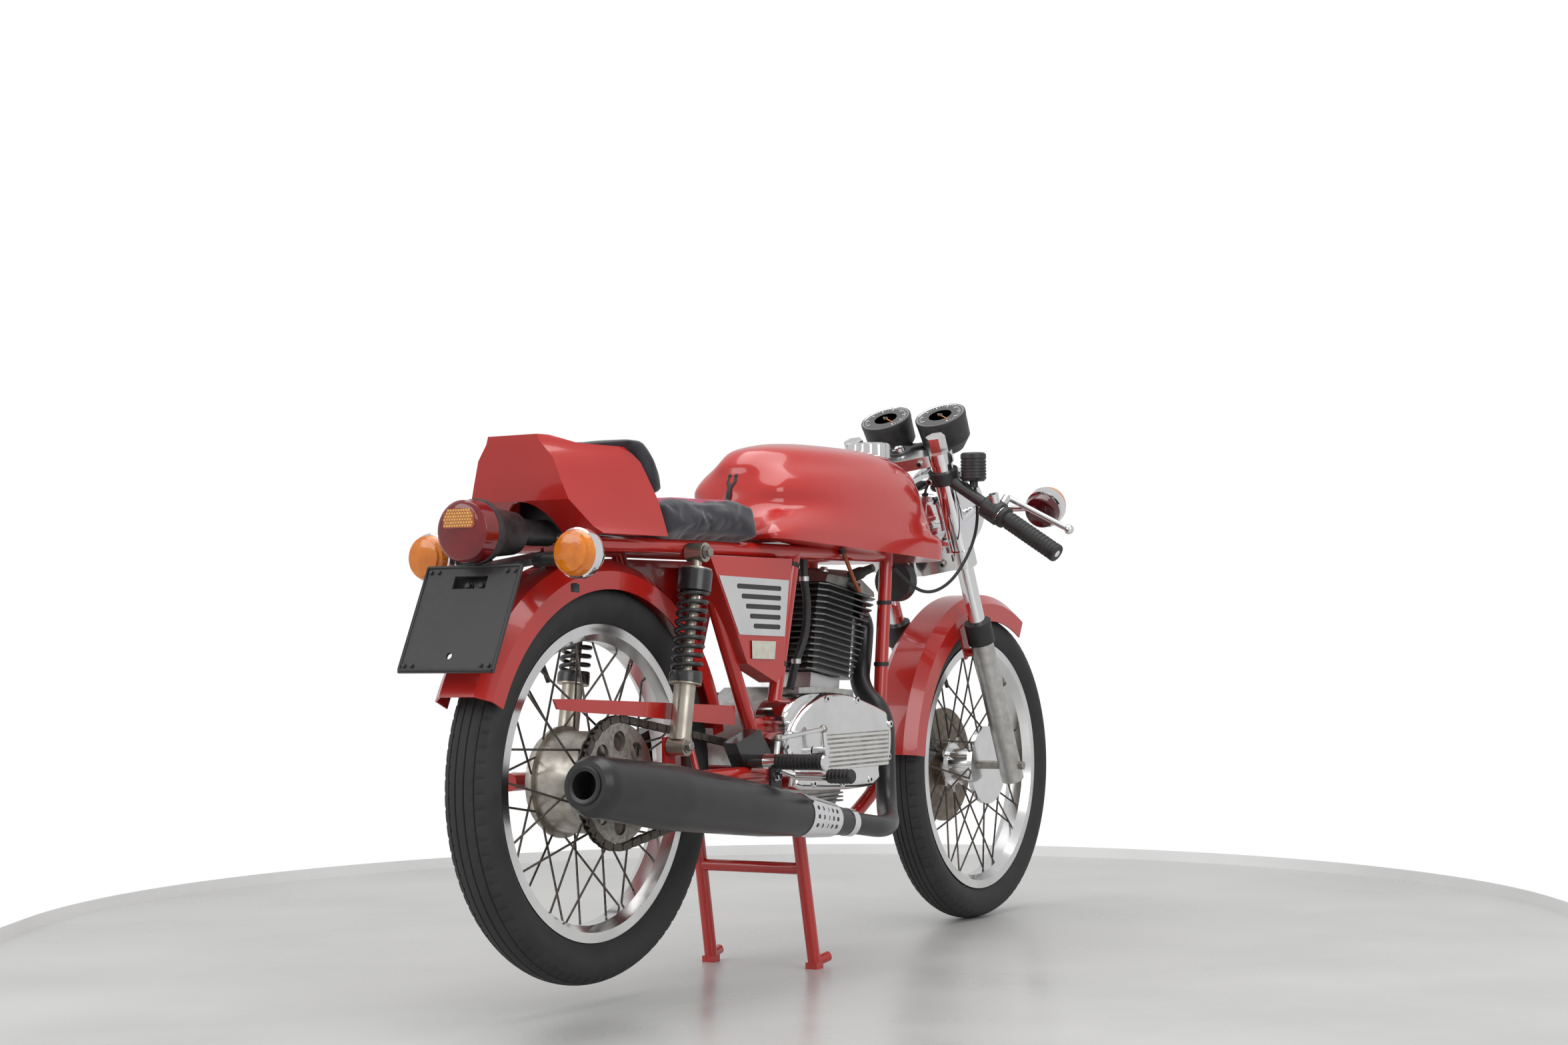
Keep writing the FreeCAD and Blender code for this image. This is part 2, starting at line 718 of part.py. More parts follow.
def tank_section(x, low, foot, shoulder, shoulder_top, crown):
    """One cross-section of the tank: flat floor, rounded sides, crowned top."""
    half = [Vector(x, -foot, low), Vector(x, -foot * 1.02, low + (shoulder_top - low) * 0.5),
            Vector(x, -shoulder, shoulder_top), Vector(x, -shoulder * 0.5, crown - (crown - shoulder_top) * 0.2)]
    other = [Vector(p.x, -p.y, p.z) for p in reversed(half)]
    curve = Part.BSplineCurve()
    curve.interpolate(half + [Vector(x, 0, crown)] + other)
    return Part.Wire([curve.toShape(), Part.LineSegment(other[-1], half[0]).toShape()])


def fuel_tank():
    """Tank: narrow knee recess behind, broad front, tunnel for the backbone."""
    low = rail_height + frame_tube_radius + 1.0
    top = low + tank_height - 8
    w = tank_half_width
    stations = ((0.277, 0.76, 0.50, 0.34, 0.44), (0.31, 0.83, 0.56, 0.52, 0.63), (0.36, 0.88, 0.62, 0.76, 0.86),
                (0.44, 0.93, 0.70, 0.90, 0.955), (0.56, 0.97, 0.74, 0.93, 1.0), (0.66, 1.0, 0.72, 0.90, 0.99),
                (0.775, 1.0, 0.60, 0.86, 0.96))
    wires = [tank_section(x * wheelbase, low, foot * w, sh * w, low + (top - low) * st, low + (top - low) * c)
             for x, foot, sh, st, c in stations]
    body = lofted(wires)
    high = low + tank_height * 1.2
    lower = closed_outline([chassis_point(0.2, -w * 1.2, low - 1), chassis_point(0.715, -w * 1.2, low - 1),
                            chassis_point(0.758, -w * 0.3, low - 1), chassis_point(0.758, w * 0.3, low - 1),
                            chassis_point(0.715, w * 1.2, low - 1), chassis_point(0.2, w * 1.2, low - 1)])
    upper = closed_outline([chassis_point(0.2, -w * 1.2, high), chassis_point(0.585, -w * 1.2, high),
                            chassis_point(0.719, -w * 0.3, high), chassis_point(0.719, w * 0.3, high),
                            chassis_point(0.585, w * 1.2, high), chassis_point(0.2, w * 1.2, high)])
    shape = body.common(Part.makeLoft([lower, upper], True, True))
    tunnel = rod(head_point(head_high - backbone_radius * 2) + to_front * 40,
                 chassis_point(post_top_share * 0.7, 0, rail_height), backbone_radius + 8)
    wide = slab(Vector(0.585 * wheelbase, -rail_half_gap, 0), Vector(wheelbase, rail_half_gap, rail_height + 58))
    add("fuel_tank", shape.cut([tunnel, wide]).cut(shapes["frame"]))
    cap_centre = Vector(0.698 * wheelbase, 0, top - 12)
    cap = rod(cap_centre, cap_centre + to_top * 28, 40.0)
    add("filler_cap", cap.cut(shapes["fuel_tank"]))


def seat():
    """Seat pad on the rails and bolster pad on the front of the tail cowl."""
    low = rail_height + frame_tube_radius + seat_gap
    half = cowl_half_width + 3
    pad = [(0.047, 0.0), (0.27, 0.0), (0.252, 0.84), (0.215, 0.95), (0.085, 0.92), (0.034, 0.78)]
    outline = [(x * wheelbase, low + seat_height * z) for x, z in pad]
    add("seat_pad", side_plate(outline, -half, half).cut(shapes["tail_cowl"]))
    bolster = [(0.034, 0.84), (0.058, 1.0), (0.034, 1.75), (0.012, 2.1), (-0.020, 2.1)]
    outline = [(x * wheelbase, low + seat_height * z) for x, z in bolster]
    add("bolster_pad", side_plate(outline, -half * 0.95, half * 0.95).cut(shapes["tail_cowl"]))


def tail_cowl():
    """Hollow tail cowl, open below, with an arch over the lamp bracket."""
    low = rail_height + frame_tube_radius + seat_gap
    w = cowl_half_width
    h = seat_height * 2.15

    def section(x, foot, waist, top, lift, trim):
        z0 = low + lift
        pts = [(-foot, z0), (-waist, z0 + (h - lift) * 0.72), (-top, low + h), (top, low + h),
               (waist, z0 + (h - lift) * 0.72), (foot, z0)]
        return closed_outline([Vector(x, y * (1 - trim), z - (z - z0) * trim) for y, z in pts])

    def body(trim, shift):
        return Part.makeLoft([section(0.048 * wheelbase, w, w * 0.98, w * 0.92, 0, trim),
                              section(-0.03 * wheelbase, w, w * 0.96, w * 0.86, 0, trim),
                              section(-0.083 * wheelbase + shift, w * 0.98, w * 0.72, w * 0.55, 0, trim),
                              section(-0.132 * wheelbase + shift, w * 0.80, w * 0.60, w * 0.39, 8, trim)],
                             True, True)
    outer = body(0, 0)
    inner = body(cowl_wall / w, cowl_wall * 2)
    front = side_plate([(0.047 * wheelbase, low - 1), (0.034 * wheelbase, low + seat_height * 0.84),
                        (-0.020 * wheelbase, low + h + 1), (0.2 * wheelbase, low + h + 1),
                        (0.2 * wheelbase, low - 1)], -w * 2, w * 2)
    arch = rod(Vector(-0.2 * wheelbase, 0, low + 8), Vector(-0.1 * wheelbase, 0, low + 8), 42.0)
    shell = outer.cut(inner).cut(front).cut(arch)
    pan_low = Vector(-0.10 * wheelbase, -w * 0.9, low)
    add("tail_cowl", shell)


def side_covers():
    """Side covers between the rear post and the stay."""
    outline = [(0.143, 0.0), (0.337, 0.0), (0.312, -0.88), (0.295, -0.95), (0.226, -0.80)]
    tall = 215.0
    top = rail_height - frame_tube_radius - 2
    pts = [(x * wheelbase, top + tall * z) for x, z in outline]
    cx = sum(x for x, z in pts) / len(pts)
    cz = sum(z for x, z in pts) / len(pts)
    right = side_plate(pts, -side_cover_half_gap, -rail_half_gap)
    hollow = side_plate([(x + (cx - x) * 0.1, z + (cz - z) * 0.1) for x, z in pts],
                        -side_cover_half_gap + 4, -rail_half_gap + 1)
    add("side_covers", both_sides(right.cut(hollow).cut(shapes["frame"]).cut(shapes["rear_dampers"])))


def mudguard(centre, radius, depth, half, wall, from_deg, to_deg):
    """A rounded mudguard swept round a wheel's axle."""
    crown = 0.35
    outer = [(-half, radius - depth), (-half, radius - half * crown), (-half * 0.6, radius),
             (half * 0.6, radius), (half, radius - half * crown), (half, radius - depth)]
    inner = [(half - wall, radius - depth), (half - wall, radius - half * crown - wall * 0.4),
             (half * 0.6 - wall * 0.4, radius - wall), (-half * 0.6 + wall * 0.4, radius - wall),
             (-half + wall, radius - half * crown - wall * 0.4), (-half + wall, radius - depth)]
    points = [centre + Vector(r, y, 0) for y, r in outer + inner]
    face = Part.Face(Part.makePolygon(points + points[:1]))
    face.rotate(centre, to_left, -from_deg)
    return face.revolve(centre, to_left, from_deg - to_deg)


def mudguards():
    """Rear mudguard on the chassis and front mudguard on the fork."""
    rear = mudguard(rear_axle, rear_tyre_radius + tyre_clearance + 8, 46.0, rear_mudguard_half_width,
                    mudguard_wall, 12, 156)
    hanger_x = rail_tail_share * wheelbase + frame_tube_radius
    hanger = slab(Vector(hanger_x - 10, -22, rear_axle.z + rear_tyre_radius + tyre_clearance - 3),
                  Vector(hanger_x + 10, 22, rail_height))
    add("rear_mudguard", fused([rear, hanger]).cut(shapes["frame"]))
    front = mudguard(front_axle, front_tyre_radius + tyre_clearance + 9, 52.0, front_mudguard_half_width,
                     mudguard_wall, 62, 174)
    half = front_mudguard_half_width
    tab = in_fork(slab(Vector(-12, half - 1, 236), Vector(12, half + 3, 300)))
    boss = rod(fork_point(246, half + 1, 0), fork_point(246, fork_half_gap - 16, 0), 8.0)
    add("front_mudguard", fused([front, tab, boss, mirrored(tab), mirrored(boss)]).cut(shapes["fork_sliders"]))


def tail_parts():
    """Number-plate holder, tail lamp and rear indicators."""
    top = Vector(-266.0, 0, 664.0)
    down = Vector(-338.0, 0, 510.0) - top
    tilt = Rotation(to_top, -down)
    h = plate_height
    plate = slab(Vector(0, -plate_width / 2, -h), Vector(plate_thickness, plate_width / 2, 0))
    window = slab(Vector(-5, -30, -h * 0.22), Vector(10, 30, -h * 0.10))
    hole = rod(Vector(-5, 0, -h * 0.85), Vector(10, 0, -h * 0.85), 5.0)
    plate = plate.cut([window, hole])
    plate.Placement = Placement(top, tilt)
    under = rail_height - frame_tube_radius
    tongue = side_plate([(top.x + 2, top.z - 2), (top.x - 2, top.z - 12), (rail_tail_share * wheelbase + 24, under - 6),
                         (rail_tail_share * wheelbase + 24, under + 5)], -32, 32)
    holder = fused([plate, tongue]).cut(shapes["frame"]).cut(shapes["rear_mudguard"])
    add("plate_holder", holder)
    lens = Vector(-301.0, 0, 713.0)
    lamp = rod(lens, lens + to_front * 66, tail_lamp_radius)
    neck = rod(lens + to_front * 60, lens + to_front * 120, tail_lamp_radius * 0.8)
    add("tail_lamp", fused([lamp, neck]).cut(shapes["plate_holder"]).cut(shapes["tail_cowl"]))
    side = Vector(-222.0, 134.0, 680.0)
    body = rod(side, side + to_front * 62, indicator_radius)
    stem = rod(Vector(side.x + 44, side.y, side.z - 8), Vector(side.x + 44, 0, side.z - 8), 6.0)
    left = fused([body, stem]).cut(shapes["plate_holder"]).cut(shapes["tail_lamp"])
    add("rear_indicators", both_sides(left))


def chain_guard():
    """Long flat guard over the top run of the chain."""
    line = [(-0.145, 470.0), (-0.138, 455.0), (-0.085, 448.0), (0.0, 440.0), (0.233, 414.0), (0.233, 446.0),
            (0.014, 461.0), (-0.113, 469.0)]
    pts = [(x * wheelbase, z) for x, z in line]
    guard = side_plate(pts, -chain_line - chain_width / 2 - 12, -chain_line - chain_width / 2 - 9)
    strut = rod(Vector(150.0, -chain_line - chain_width / 2 - 10, 440.0),
                Vector(150.0, -swingarm_half_gap + 4, rear_axle.z), 5.0)
    add("chain_guard", fused([guard, strut]).cut(shapes["swingarm"]))


def footrests():
    """Footrest plates and rubbers."""
    root = Vector(0.219 * wheelbase, -footrest_half_gap, 358.0)
    plate = side_plate([(0.190 * wheelbase, 388.0), (0.246 * wheelbase, 408.0), (0.283 * wheelbase, 352.0),
                        (0.215 * wheelbase, 342.0)], -footrest_half_gap, -post_half_gap)
    peg = rod(root + to_left * 4, root - to_left * 140, 11.0)
    right = fused([plate, peg]).cut(shapes["frame"]).cut(shapes["swingarm"])
    add("footrests", both_sides(right))
    tip = Vector(0.2885 * wheelbase, -footrest_half_gap - 32, 331.0)
    arm = rod(root - to_left * 20, tip, 6.0)
    pad = rod(tip, tip - to_left * 107, 8.0)
    add("foot_controls", both_sides(fused([arm, pad]).cut(right)))


def horn():
    """Horn disc under the front of the tank."""
    centre = Vector(0.763 * wheelbase, 0, 659.0)
    disc = rod(centre, centre + to_front * 26, 38.0)
    arm = slab(centre + Vector(8, -8, 20), Vector(centre.x + 12, 8, rail_height + 8))
    add("horn", fused([disc, arm]).cut(shapes["frame"]))


# Steering, built in the fork's own frame: X ahead, Y left, Z up along the legs

fork_place = Placement(front_axle, Rotation(to_left, -rake_deg))


def in_fork(shape):
    """Move a shape from the fork's frame to the motorcycle's."""
    moved = shape.copy()
    moved.Placement = fork_place.multiply(moved.Placement)
    return moved


def leg(low, high, radius):
    """An upright round bar on the left fork leg."""
    return Part.makeCylinder(radius, high - low, Vector(0, fork_half_gap, low))


def yoke(low, thickness):
    """A fork yoke: two clamps joined by a web round the steering stem."""
    clamp = stanchion_radius + 9
    s = fork_half_gap
    web = closed_outline([Vector(clamp * 0.6, -s, low), Vector(clamp * 0.2, 0, low), Vector(clamp * 0.6, s, low),
                          Vector(-clamp * 0.7, s, low), Vector(-yoke_offset - clamp * 0.6, clamp, low),
                          Vector(-yoke_offset - clamp * 0.6, -clamp, low), Vector(-clamp * 0.7, -s, low)])
    plate = Part.Face(web).extrude(Vector(0, 0, thickness))
    rings = [Part.makeCylinder(clamp, thickness, Vector(0, y, low)) for y in (-s, s)]
    return fused([plate] + rings)


def fork():
    """Yokes with the stem, stanchions, gaiters, sliders and front axle."""
    top = head_high + yoke_gap
    stem_radius = head_tube_radius - frame_tube_radius / 2 - running_clearance
    stem = Part.makeCylinder(stem_radius, top - lower_yoke_along, Vector(-yoke_offset, 0, lower_yoke_along))
    yokes = fused([yoke(lower_yoke_along, lower_yoke_thickness), yoke(top, top_yoke_thickness), stem])
    tube = leg(150.0, fork_length, stanchion_radius)
    shroud = leg(lower_yoke_along + lower_yoke_thickness, top, shroud_radius)
    tubes = fused([tube, shroud])
    tubes = Part.makeCompound([tubes, mirrored(tubes)])
    add("fork_tubes", in_fork(tubes))
    add("fork_yokes", in_fork(yokes.cut(tubes)))
    gaiter = leg(268.0, 311.0, gaiter_radius).cut(tubes)
    add("fork_gaiters", in_fork(Part.makeCompound([gaiter, mirrored(gaiter)])))
    slider = leg(-30.0, 268.0, slider_radius).cut(tubes)
    axle = Part.makeCylinder(axle_radius, fork_half_gap * 2 + slider_radius * 2 + 16,
                             Vector(0, -fork_half_gap - slider_radius - 8, 0), to_left)
    slider = slider.cut(axle)
    add("fork_sliders", in_fork(Part.makeCompound([slider, mirrored(slider)])))
    add("front_axle", in_fork(axle))


def bars():
    """Clip-on bars clamped under the top yoke, grips and levers."""
    clamp_low = head_high - 36.0
    root = Vector(0, fork_half_gap, clamp_low + 12)
    bar_run = Vector(-75.0, 232.0, -132.0)
    end = root + bar_run
    ring = leg(clamp_low, clamp_low + 24, stanchion_radius + 12)
    bar = rod(root, end, bar_radius)
    clip = fused([ring, bar]).cut(shapes_local_tubes())
    add("handlebars", in_fork(both_sides(clip)))
    bar_run.normalize()
    grip = rod(end - bar_run * grip_length, end + bar_run * 4, grip_radius).cut(rod(root, end, bar_radius))
    add("grips", in_fork(both_sides(grip)))
    perch = rod(end - bar_run * (grip_length + 32), end - bar_run * (grip_length + 2), bar_radius + 8)
    perch = perch.cut(rod(root, end, bar_radius))
    pivot_point = end - bar_run * (grip_length + 16) + Vector(42.0, 4.0, 14.0)
    hold = end - bar_run * (grip_length + 17)
    boss = Part.makeCylinder(mirror_boss_radius, mirror_boss_height, hold)
    mouth = hold + Vector(0, 0, mirror_boss_height)
    mirror_hole = Part.makeCylinder(mirror_hole_radius, mirror_hole_depth, mouth, Vector(0, 0, -1))
    bridge = rod(end - bar_run * (grip_length + 16) + Vector(14, 0, 5), pivot_point, 8.0)
    lever = rod(pivot_point, end + Vector(70.0, 2.0, 16.0), 5.5)
    ball = Part.makeSphere(9.0, end + Vector(70.0, 2.0, 16.0))
    whole = fused([perch, bridge, lever, ball, boss]).cut([rod(root, end, bar_radius), mirror_hole])
    add("control_levers", in_fork(both_sides(whole)))


def shapes_local_tubes():
    """The stanchions and shrouds, in the fork's frame."""
    tube = leg(150.0, fork_length, stanchion_radius)
    shroud = leg(lower_yoke_along + lower_yoke_thickness, head_high + yoke_gap, shroud_radius)
    return Part.makeCompound([tube, shroud, mirrored(tube), mirrored(shroud)])


def instruments():
    """Two gauges in rubber cups on a bracket over the top yoke."""
    lean = math.radians(gauge_tilt_deg)
    look = Vector(-math.sin(lean), 0, math.cos(lean))
    centre = Vector(1082.0, 0, 975.0)
    cup = [(0, 0), (0, gauge_radius), (-gauge_depth * 0.7, gauge_radius * 0.94),
           (-gauge_depth, gauge_radius * 0.6), (-gauge_depth, 0)]
    bridge = centre - look * gauge_depth * 0.9
    post = rod(bridge, fork_point(head_high + yoke_gap + top_yoke_thickness - 1, 0, -8), 9.0)
    bar = slab(Vector(-6, -gauge_half_gap, -6), Vector(6, gauge_half_gap, 6))
    bar.Placement = Placement(bridge, Rotation(to_left, -gauge_tilt_deg))
    gauges = [turned(cup, centre + to_left * side, look) for side in (-gauge_half_gap, gauge_half_gap)]
    add("instruments", fused(gauges + [bar, post]).cut(shapes["fork_yokes"]))


def headlamp():
    """Round headlamp between the fork legs, and the front indicators."""
    centre = fork_point(505.0, 0, 92.0)
    shell = fused([rod(centre, centre + to_front * 62, headlamp_radius),
                   Part.makeSphere(headlamp_radius, centre)])
    shell = shell.cut(rod(centre + to_front * 62, centre + to_front * 300, headlamp_radius * 3))
    ears = []
    for s in (-1, 1):
        ears.append(rod(fork_point(505.0, s * fork_half_gap, shroud_radius - 3),
                        fork_point(505.0, s * fork_half_gap, 98.0), 7.0))
        ears.append(rod(fork_point(505.0, s * fork_half_gap, 92.0), centre, 7.0))
    lamp = shell.fuse(ears).removeSplitter()
    add("headlamp", lamp.cut(shapes["fork_tubes"]))
    bodies = []
    for s in (-1, 1):
        place = fork_point(505.0, s * 236.0, 92.0)
        root = fork_point(505.0, s * fork_half_gap, 92.0)
        bodies.append(rod(place - to_front * 30, place + to_front * 36, indicator_radius))
        bodies.append(rod(root, place, 6.0))
    left = fused(bodies[:2]).cut(shapes["headlamp"])
    right = fused(bodies[2:]).cut(shapes["headlamp"])
    add("front_indicators", Part.makeCompound([left, right]))


def caliper():
    """Brake caliper behind the left leg, over the disc."""
    low = disc_line - 16
    block = slab(Vector(-84.0, low, 46.0), Vector(-34.0, disc_line + 28, 140.0))
    slot = Part.makeCylinder(disc_radius + 5, disc_thickness + 4,
                             Vector(0, disc_line - disc_thickness / 2 - 2, 0), to_left)
    arm = slab(Vector(-40.0, disc_line + 12, 70.0), Vector(0, disc_line + 28, 130.0))
    whole = fused([block.cut(slot), arm])
    add("brake_caliper", in_fork(whole).cut(shapes["fork_sliders"]).cut(shapes["fork_tubes"]))


def stand():
    """Centre stand: two legs on the frame's pins, a cross bar and curved feet."""
    hub = Vector(stand_pivot_x, 0, stand_pivot_height)
    r = stand_leg_radius
    top = hub + to_left * stand_half_gap
    foot = Vector(stand_pivot_x + stand_foot_reach, stand_half_gap + 3, r)
    leg_bar = rod(top, foot, r)
    eye = rod(top - to_left * r, top + to_left * r, r * 1.4)
    toe = rod(foot, foot + Vector(35, 6, 6), r * 0.8)
    sole = slab(Vector(foot.x - r, foot.y - r, 0), Vector(foot.x + r, foot.y + r, r))
    cross_share = 0.36
    cross_centre = top + (foot - top) * cross_share
    cross = rod(cross_centre, Vector(cross_centre.x, 0, cross_centre.z), r * 0.9)
    bore = rod(hub, hub + to_left * stand_half_gap * 2, stand_pin_radius + running_clearance)
    half = fused([leg_bar, eye, toe, sole, cross]).cut(bore)
    below = slab(Vector(-wheelbase, -wheelbase, -wheelbase), Vector(wheelbase, wheelbase, 0))
    add("centre_stand", fused([half, mirrored(half)]).cut(below))


def cables():
    """Throttle and brake cables from the bars to the front of the frame."""
    route = [Vector(1058.0, -140.0, 846.0), Vector(1072.0, -142.0, 800.0), Vector(1064.0, -140.0, 742.0),
             Vector(1030.0, -132.0, 690.0), Vector(985.0, -122.0, 650.0), Vector(925.0, -112.0, 632.0),
             Vector(872.0, -102.0, 646.0), Vector(830.5, -91.3, 680.0)]
    add("control_cables", bent_tube(route, cable_radius, 0.45))


frame()
swingarm()
rear_wheel()
front_wheel()
dampers()
springs()
rear_axle_set()
drive_chain()
engine()
carburettor()
exhaust()
tail_cowl()
fuel_tank()
seat()
side_covers()
fork()
mudguards()
tail_parts()
chain_guard()
footrests()
horn()
bars()
instruments()
headlamp()
caliper()
stand()
cables()

# Export: the origin lies on the floor under the middle of the length
whole = Part.makeCompound(list(shapes.values()))
origin_x = (whole.BoundBox.XMin + whole.BoundBox.XMax) / 2
os.makedirs("parts", exist_ok=True)
for name, shape in shapes.items():
    moved = shape.copy()
    moved.translate(Vector(-origin_x, 0, 0))
    moved.exportStep(os.path.join("parts", name + ".step"))
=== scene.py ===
import json
import math

import bmesh
import bpy
from mathutils import Matrix, Vector
from mathutils import noise as lumps


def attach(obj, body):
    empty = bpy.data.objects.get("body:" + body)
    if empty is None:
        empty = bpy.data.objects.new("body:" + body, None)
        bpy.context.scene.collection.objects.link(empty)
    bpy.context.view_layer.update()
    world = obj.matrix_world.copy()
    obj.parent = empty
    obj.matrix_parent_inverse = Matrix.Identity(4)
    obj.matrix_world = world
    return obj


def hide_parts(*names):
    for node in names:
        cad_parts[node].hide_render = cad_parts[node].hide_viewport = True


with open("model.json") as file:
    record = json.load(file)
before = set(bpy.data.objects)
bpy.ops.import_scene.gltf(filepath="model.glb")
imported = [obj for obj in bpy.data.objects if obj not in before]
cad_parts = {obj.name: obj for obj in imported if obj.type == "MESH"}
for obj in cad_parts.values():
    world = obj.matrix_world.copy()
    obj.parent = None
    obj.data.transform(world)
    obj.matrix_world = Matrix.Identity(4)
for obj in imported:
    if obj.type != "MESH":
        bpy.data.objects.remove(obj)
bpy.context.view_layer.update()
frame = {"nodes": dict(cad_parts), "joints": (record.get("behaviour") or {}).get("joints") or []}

# Places taken from the frame: wheel axles, steering axis and the fork's own directions
joints = {joint["name"]: joint for joint in frame["joints"]}
rear_axle = Vector(joints["rear_wheel_spin"]["pos_m"])
front_axle = Vector(joints["front_wheel_spin"]["pos_m"])
up_fork = Vector(joints["steering_turn"]["axis"]).normalized()
to_left = Vector((0, 1, 0))
to_front = Vector((1, 0, 0))
to_top = Vector((0, 0, 1))
ahead_of_fork = to_left.cross(up_fork)
MM = 0.001
SIDES = (-1, 1)
WELD = 0.000002
VIEW_YAW = 0.5420


def at(x, y, z):
    """A place in millimetres: X ahead of the rear axle, Y to the left, Z above the floor."""
    return Vector((rear_axle.x + x * MM, y * MM, z * MM))


def in_mm(point):
    """The X, Y and Z of a place in the same millimetres."""
    return (point.x - rear_axle.x) / MM, point.y / MM, point.z / MM


def on_fork(along, side, ahead):
    """A place in millimetres in the fork's own directions, from the front axle."""
    return front_axle + (up_fork * along + to_left * side + ahead_of_fork * ahead) * MM


def fork_place(point):
    """A point's place along the fork, to its side and ahead of it, in millimetres."""
    away = (point - front_axle) / MM
    return away.dot(up_fork), away.dot(to_left), away.dot(ahead_of_fork)


def turned_to(first, second, turn):
    """A direction at an angle from the first towards the second."""
    return first * math.cos(turn) + second * math.sin(turn)


# Materials

def new_material(name):
    """An empty node material with its shader and output."""
    made = bpy.data.materials.new(name)
    made.use_nodes = True
    nodes = made.node_tree.nodes
    nodes.clear()
    output = nodes.new("ShaderNodeOutputMaterial")
    shader = nodes.new("ShaderNodeBsdfPrincipled")
    made.node_tree.links.new(shader.outputs["BSDF"], output.inputs["Surface"])
    return made, shader


def noise(made, scale, detail=4.0):
    """Noise in the object's own metres."""
    nodes = made.node_tree.nodes
    place = nodes.new("ShaderNodeTexCoord")
    texture = nodes.new("ShaderNodeTexNoise")
    texture.inputs["Scale"].default_value = scale
    texture.inputs["Detail"].default_value = detail
    made.node_tree.links.new(place.outputs["Object"], texture.inputs["Vector"])
    return texture.outputs["Fac"]


def spread(made, source, low, high, start=0.3, end=0.7):
    """A number that runs from low to high as the source runs from start to end."""
    ranged = made.node_tree.nodes.new("ShaderNodeMapRange")
    for socket, value in (("From Min", start), ("From Max", end), ("To Min", low), ("To Max", high)):
        ranged.inputs[socket].default_value = value
    made.node_tree.links.new(source, ranged.inputs["Value"])
    return ranged.outputs["Result"]


def mixed(made, source, first, second):
    """A colour between two, by a source."""
    mix = made.node_tree.nodes.new("ShaderNodeMix")
    mix.data_type = "RGBA"
    mix.inputs["A"].default_value = (*first, 1)
    mix.inputs["B"].default_value = (*second, 1)
    made.node_tree.links.new(spread(made, source, 0.0, 1.0, 0.35, 0.65), mix.inputs["Factor"])
    return mix.outputs["Result"]


def surface(name, colour, shade, rough, metal, scale, relief=None, coat=0.0, sheen=0.0):
    """A material with two colours and a roughness that vary softly; relief is a depth and its noise scale."""
    made, shader = new_material(name)
    inputs, links = shader.inputs, made.node_tree.links
    inputs["Metallic"].default_value = metal
    if coat:
        inputs["Coat Weight"].default_value = coat
        inputs["Coat Roughness"].default_value = 0.04
    if sheen:
        inputs["Sheen Weight"].default_value = sheen
        inputs["Sheen Roughness"].default_value = 0.4
    soft = noise(made, scale)
    links.new(mixed(made, soft, colour, shade), inputs["Base Color"])
    links.new(spread(made, soft, *rough), inputs["Roughness"])
    if relief:
        depth, fineness = relief
        bump = made.node_tree.nodes.new("ShaderNodeBump")
        bump.inputs["Strength"].default_value = 0.6
        bump.inputs["Distance"].default_value = depth
        links.new(noise(made, fineness, detail=2.0), bump.inputs["Height"])
        links.new(bump.outputs["Normal"], inputs["Normal"])
    return made


# Each finish: two colours, roughness, metal, noise scale, relief, coat and sheen
RED = surface("red_paint", (0.5, 0.02, 0.015), (0.46, 0.016, 0.012), (0.16, 0.24), 0, 6, (2e-5, 260), 0.6)
TYRE = surface("tyre_rubber", (0.02, 0.02, 0.021), (0.032, 0.032, 0.033), (0.62, 0.78), 0, 30, (2e-4, 700))
RUBBER = surface("soft_rubber", (0.014, 0.014, 0.015), (0.026, 0.026, 0.027), (0.42, 0.6), 0, 50, (1e-4, 900))
POLISHED = surface("polished_alloy", (0.86, 0.86, 0.86), (0.78, 0.78, 0.79), (0.09, 0.2), 1, 18, (2e-5, 500))
CAST = surface("cast_alloy", (0.6, 0.6, 0.59), (0.48, 0.47, 0.45), (0.3, 0.46), 1, 60, (2e-4, 900))
CHROME = surface("chrome", (0.9, 0.9, 0.91), (0.84, 0.84, 0.86), (0.03, 0.09), 1, 14)
STEEL = surface("steel", (0.46, 0.44, 0.41), (0.3, 0.28, 0.25), (0.3, 0.5), 1, 120, (8e-5, 900))
DISC = surface("disc_steel", (0.32, 0.27, 0.22), (0.22, 0.18, 0.15), (0.28, 0.42), 1, 90)
CHAIN = surface("chain_steel", (0.1, 0.09, 0.08), (0.17, 0.15, 0.13), (0.35, 0.55), 0.9, 160)
BLACK = surface("black_paint", (0.018, 0.018, 0.019), (0.03, 0.03, 0.032), (0.22, 0.36), 0, 24,
                (3e-5, 400), 0.25)
SATIN_BLACK = surface("satin_black", (0.014, 0.014, 0.015), (0.022, 0.022, 0.024), (0.26, 0.36), 0, 20,
                      (5e-5, 600))
PLASTIC = surface("black_plastic", (0.022, 0.022, 0.024), (0.036, 0.036, 0.038), (0.34, 0.5), 0, 70,
                  (1e-4, 1200))
DAMPER = surface("damper_alloy", (0.52, 0.48, 0.41), (0.42, 0.38, 0.32), (0.26, 0.38), 0.85, 40, (5e-5, 700))
HUB = surface("hub_alloy", (0.5, 0.47, 0.42), (0.34, 0.31, 0.27), (0.28, 0.45), 1, 50, (1e-4, 600))
SPOKE = surface("spoke_steel", (0.15, 0.13, 0.12), (0.09, 0.08, 0.07), (0.35, 0.5), 1, 200)
RIM = surface("rim_alloy", (0.84, 0.84, 0.84), (0.74, 0.74, 0.74), (0.12, 0.24), 1, 12, (3e-5, 300))
SATIN = surface("satin_silver", (0.66, 0.66, 0.66), (0.58, 0.58, 0.58), (0.26, 0.38), 1, 20, (3e-5, 500))
# Fin edges: a lighter grey than the black fins, a painted highlight along each fin's edge
FIN_EDGE_HIGHLIGHT = surface("fin_edge_highlight", (0.085, 0.085, 0.085), (0.14, 0.14, 0.135), (0.26, 0.4), 0.5, 30)
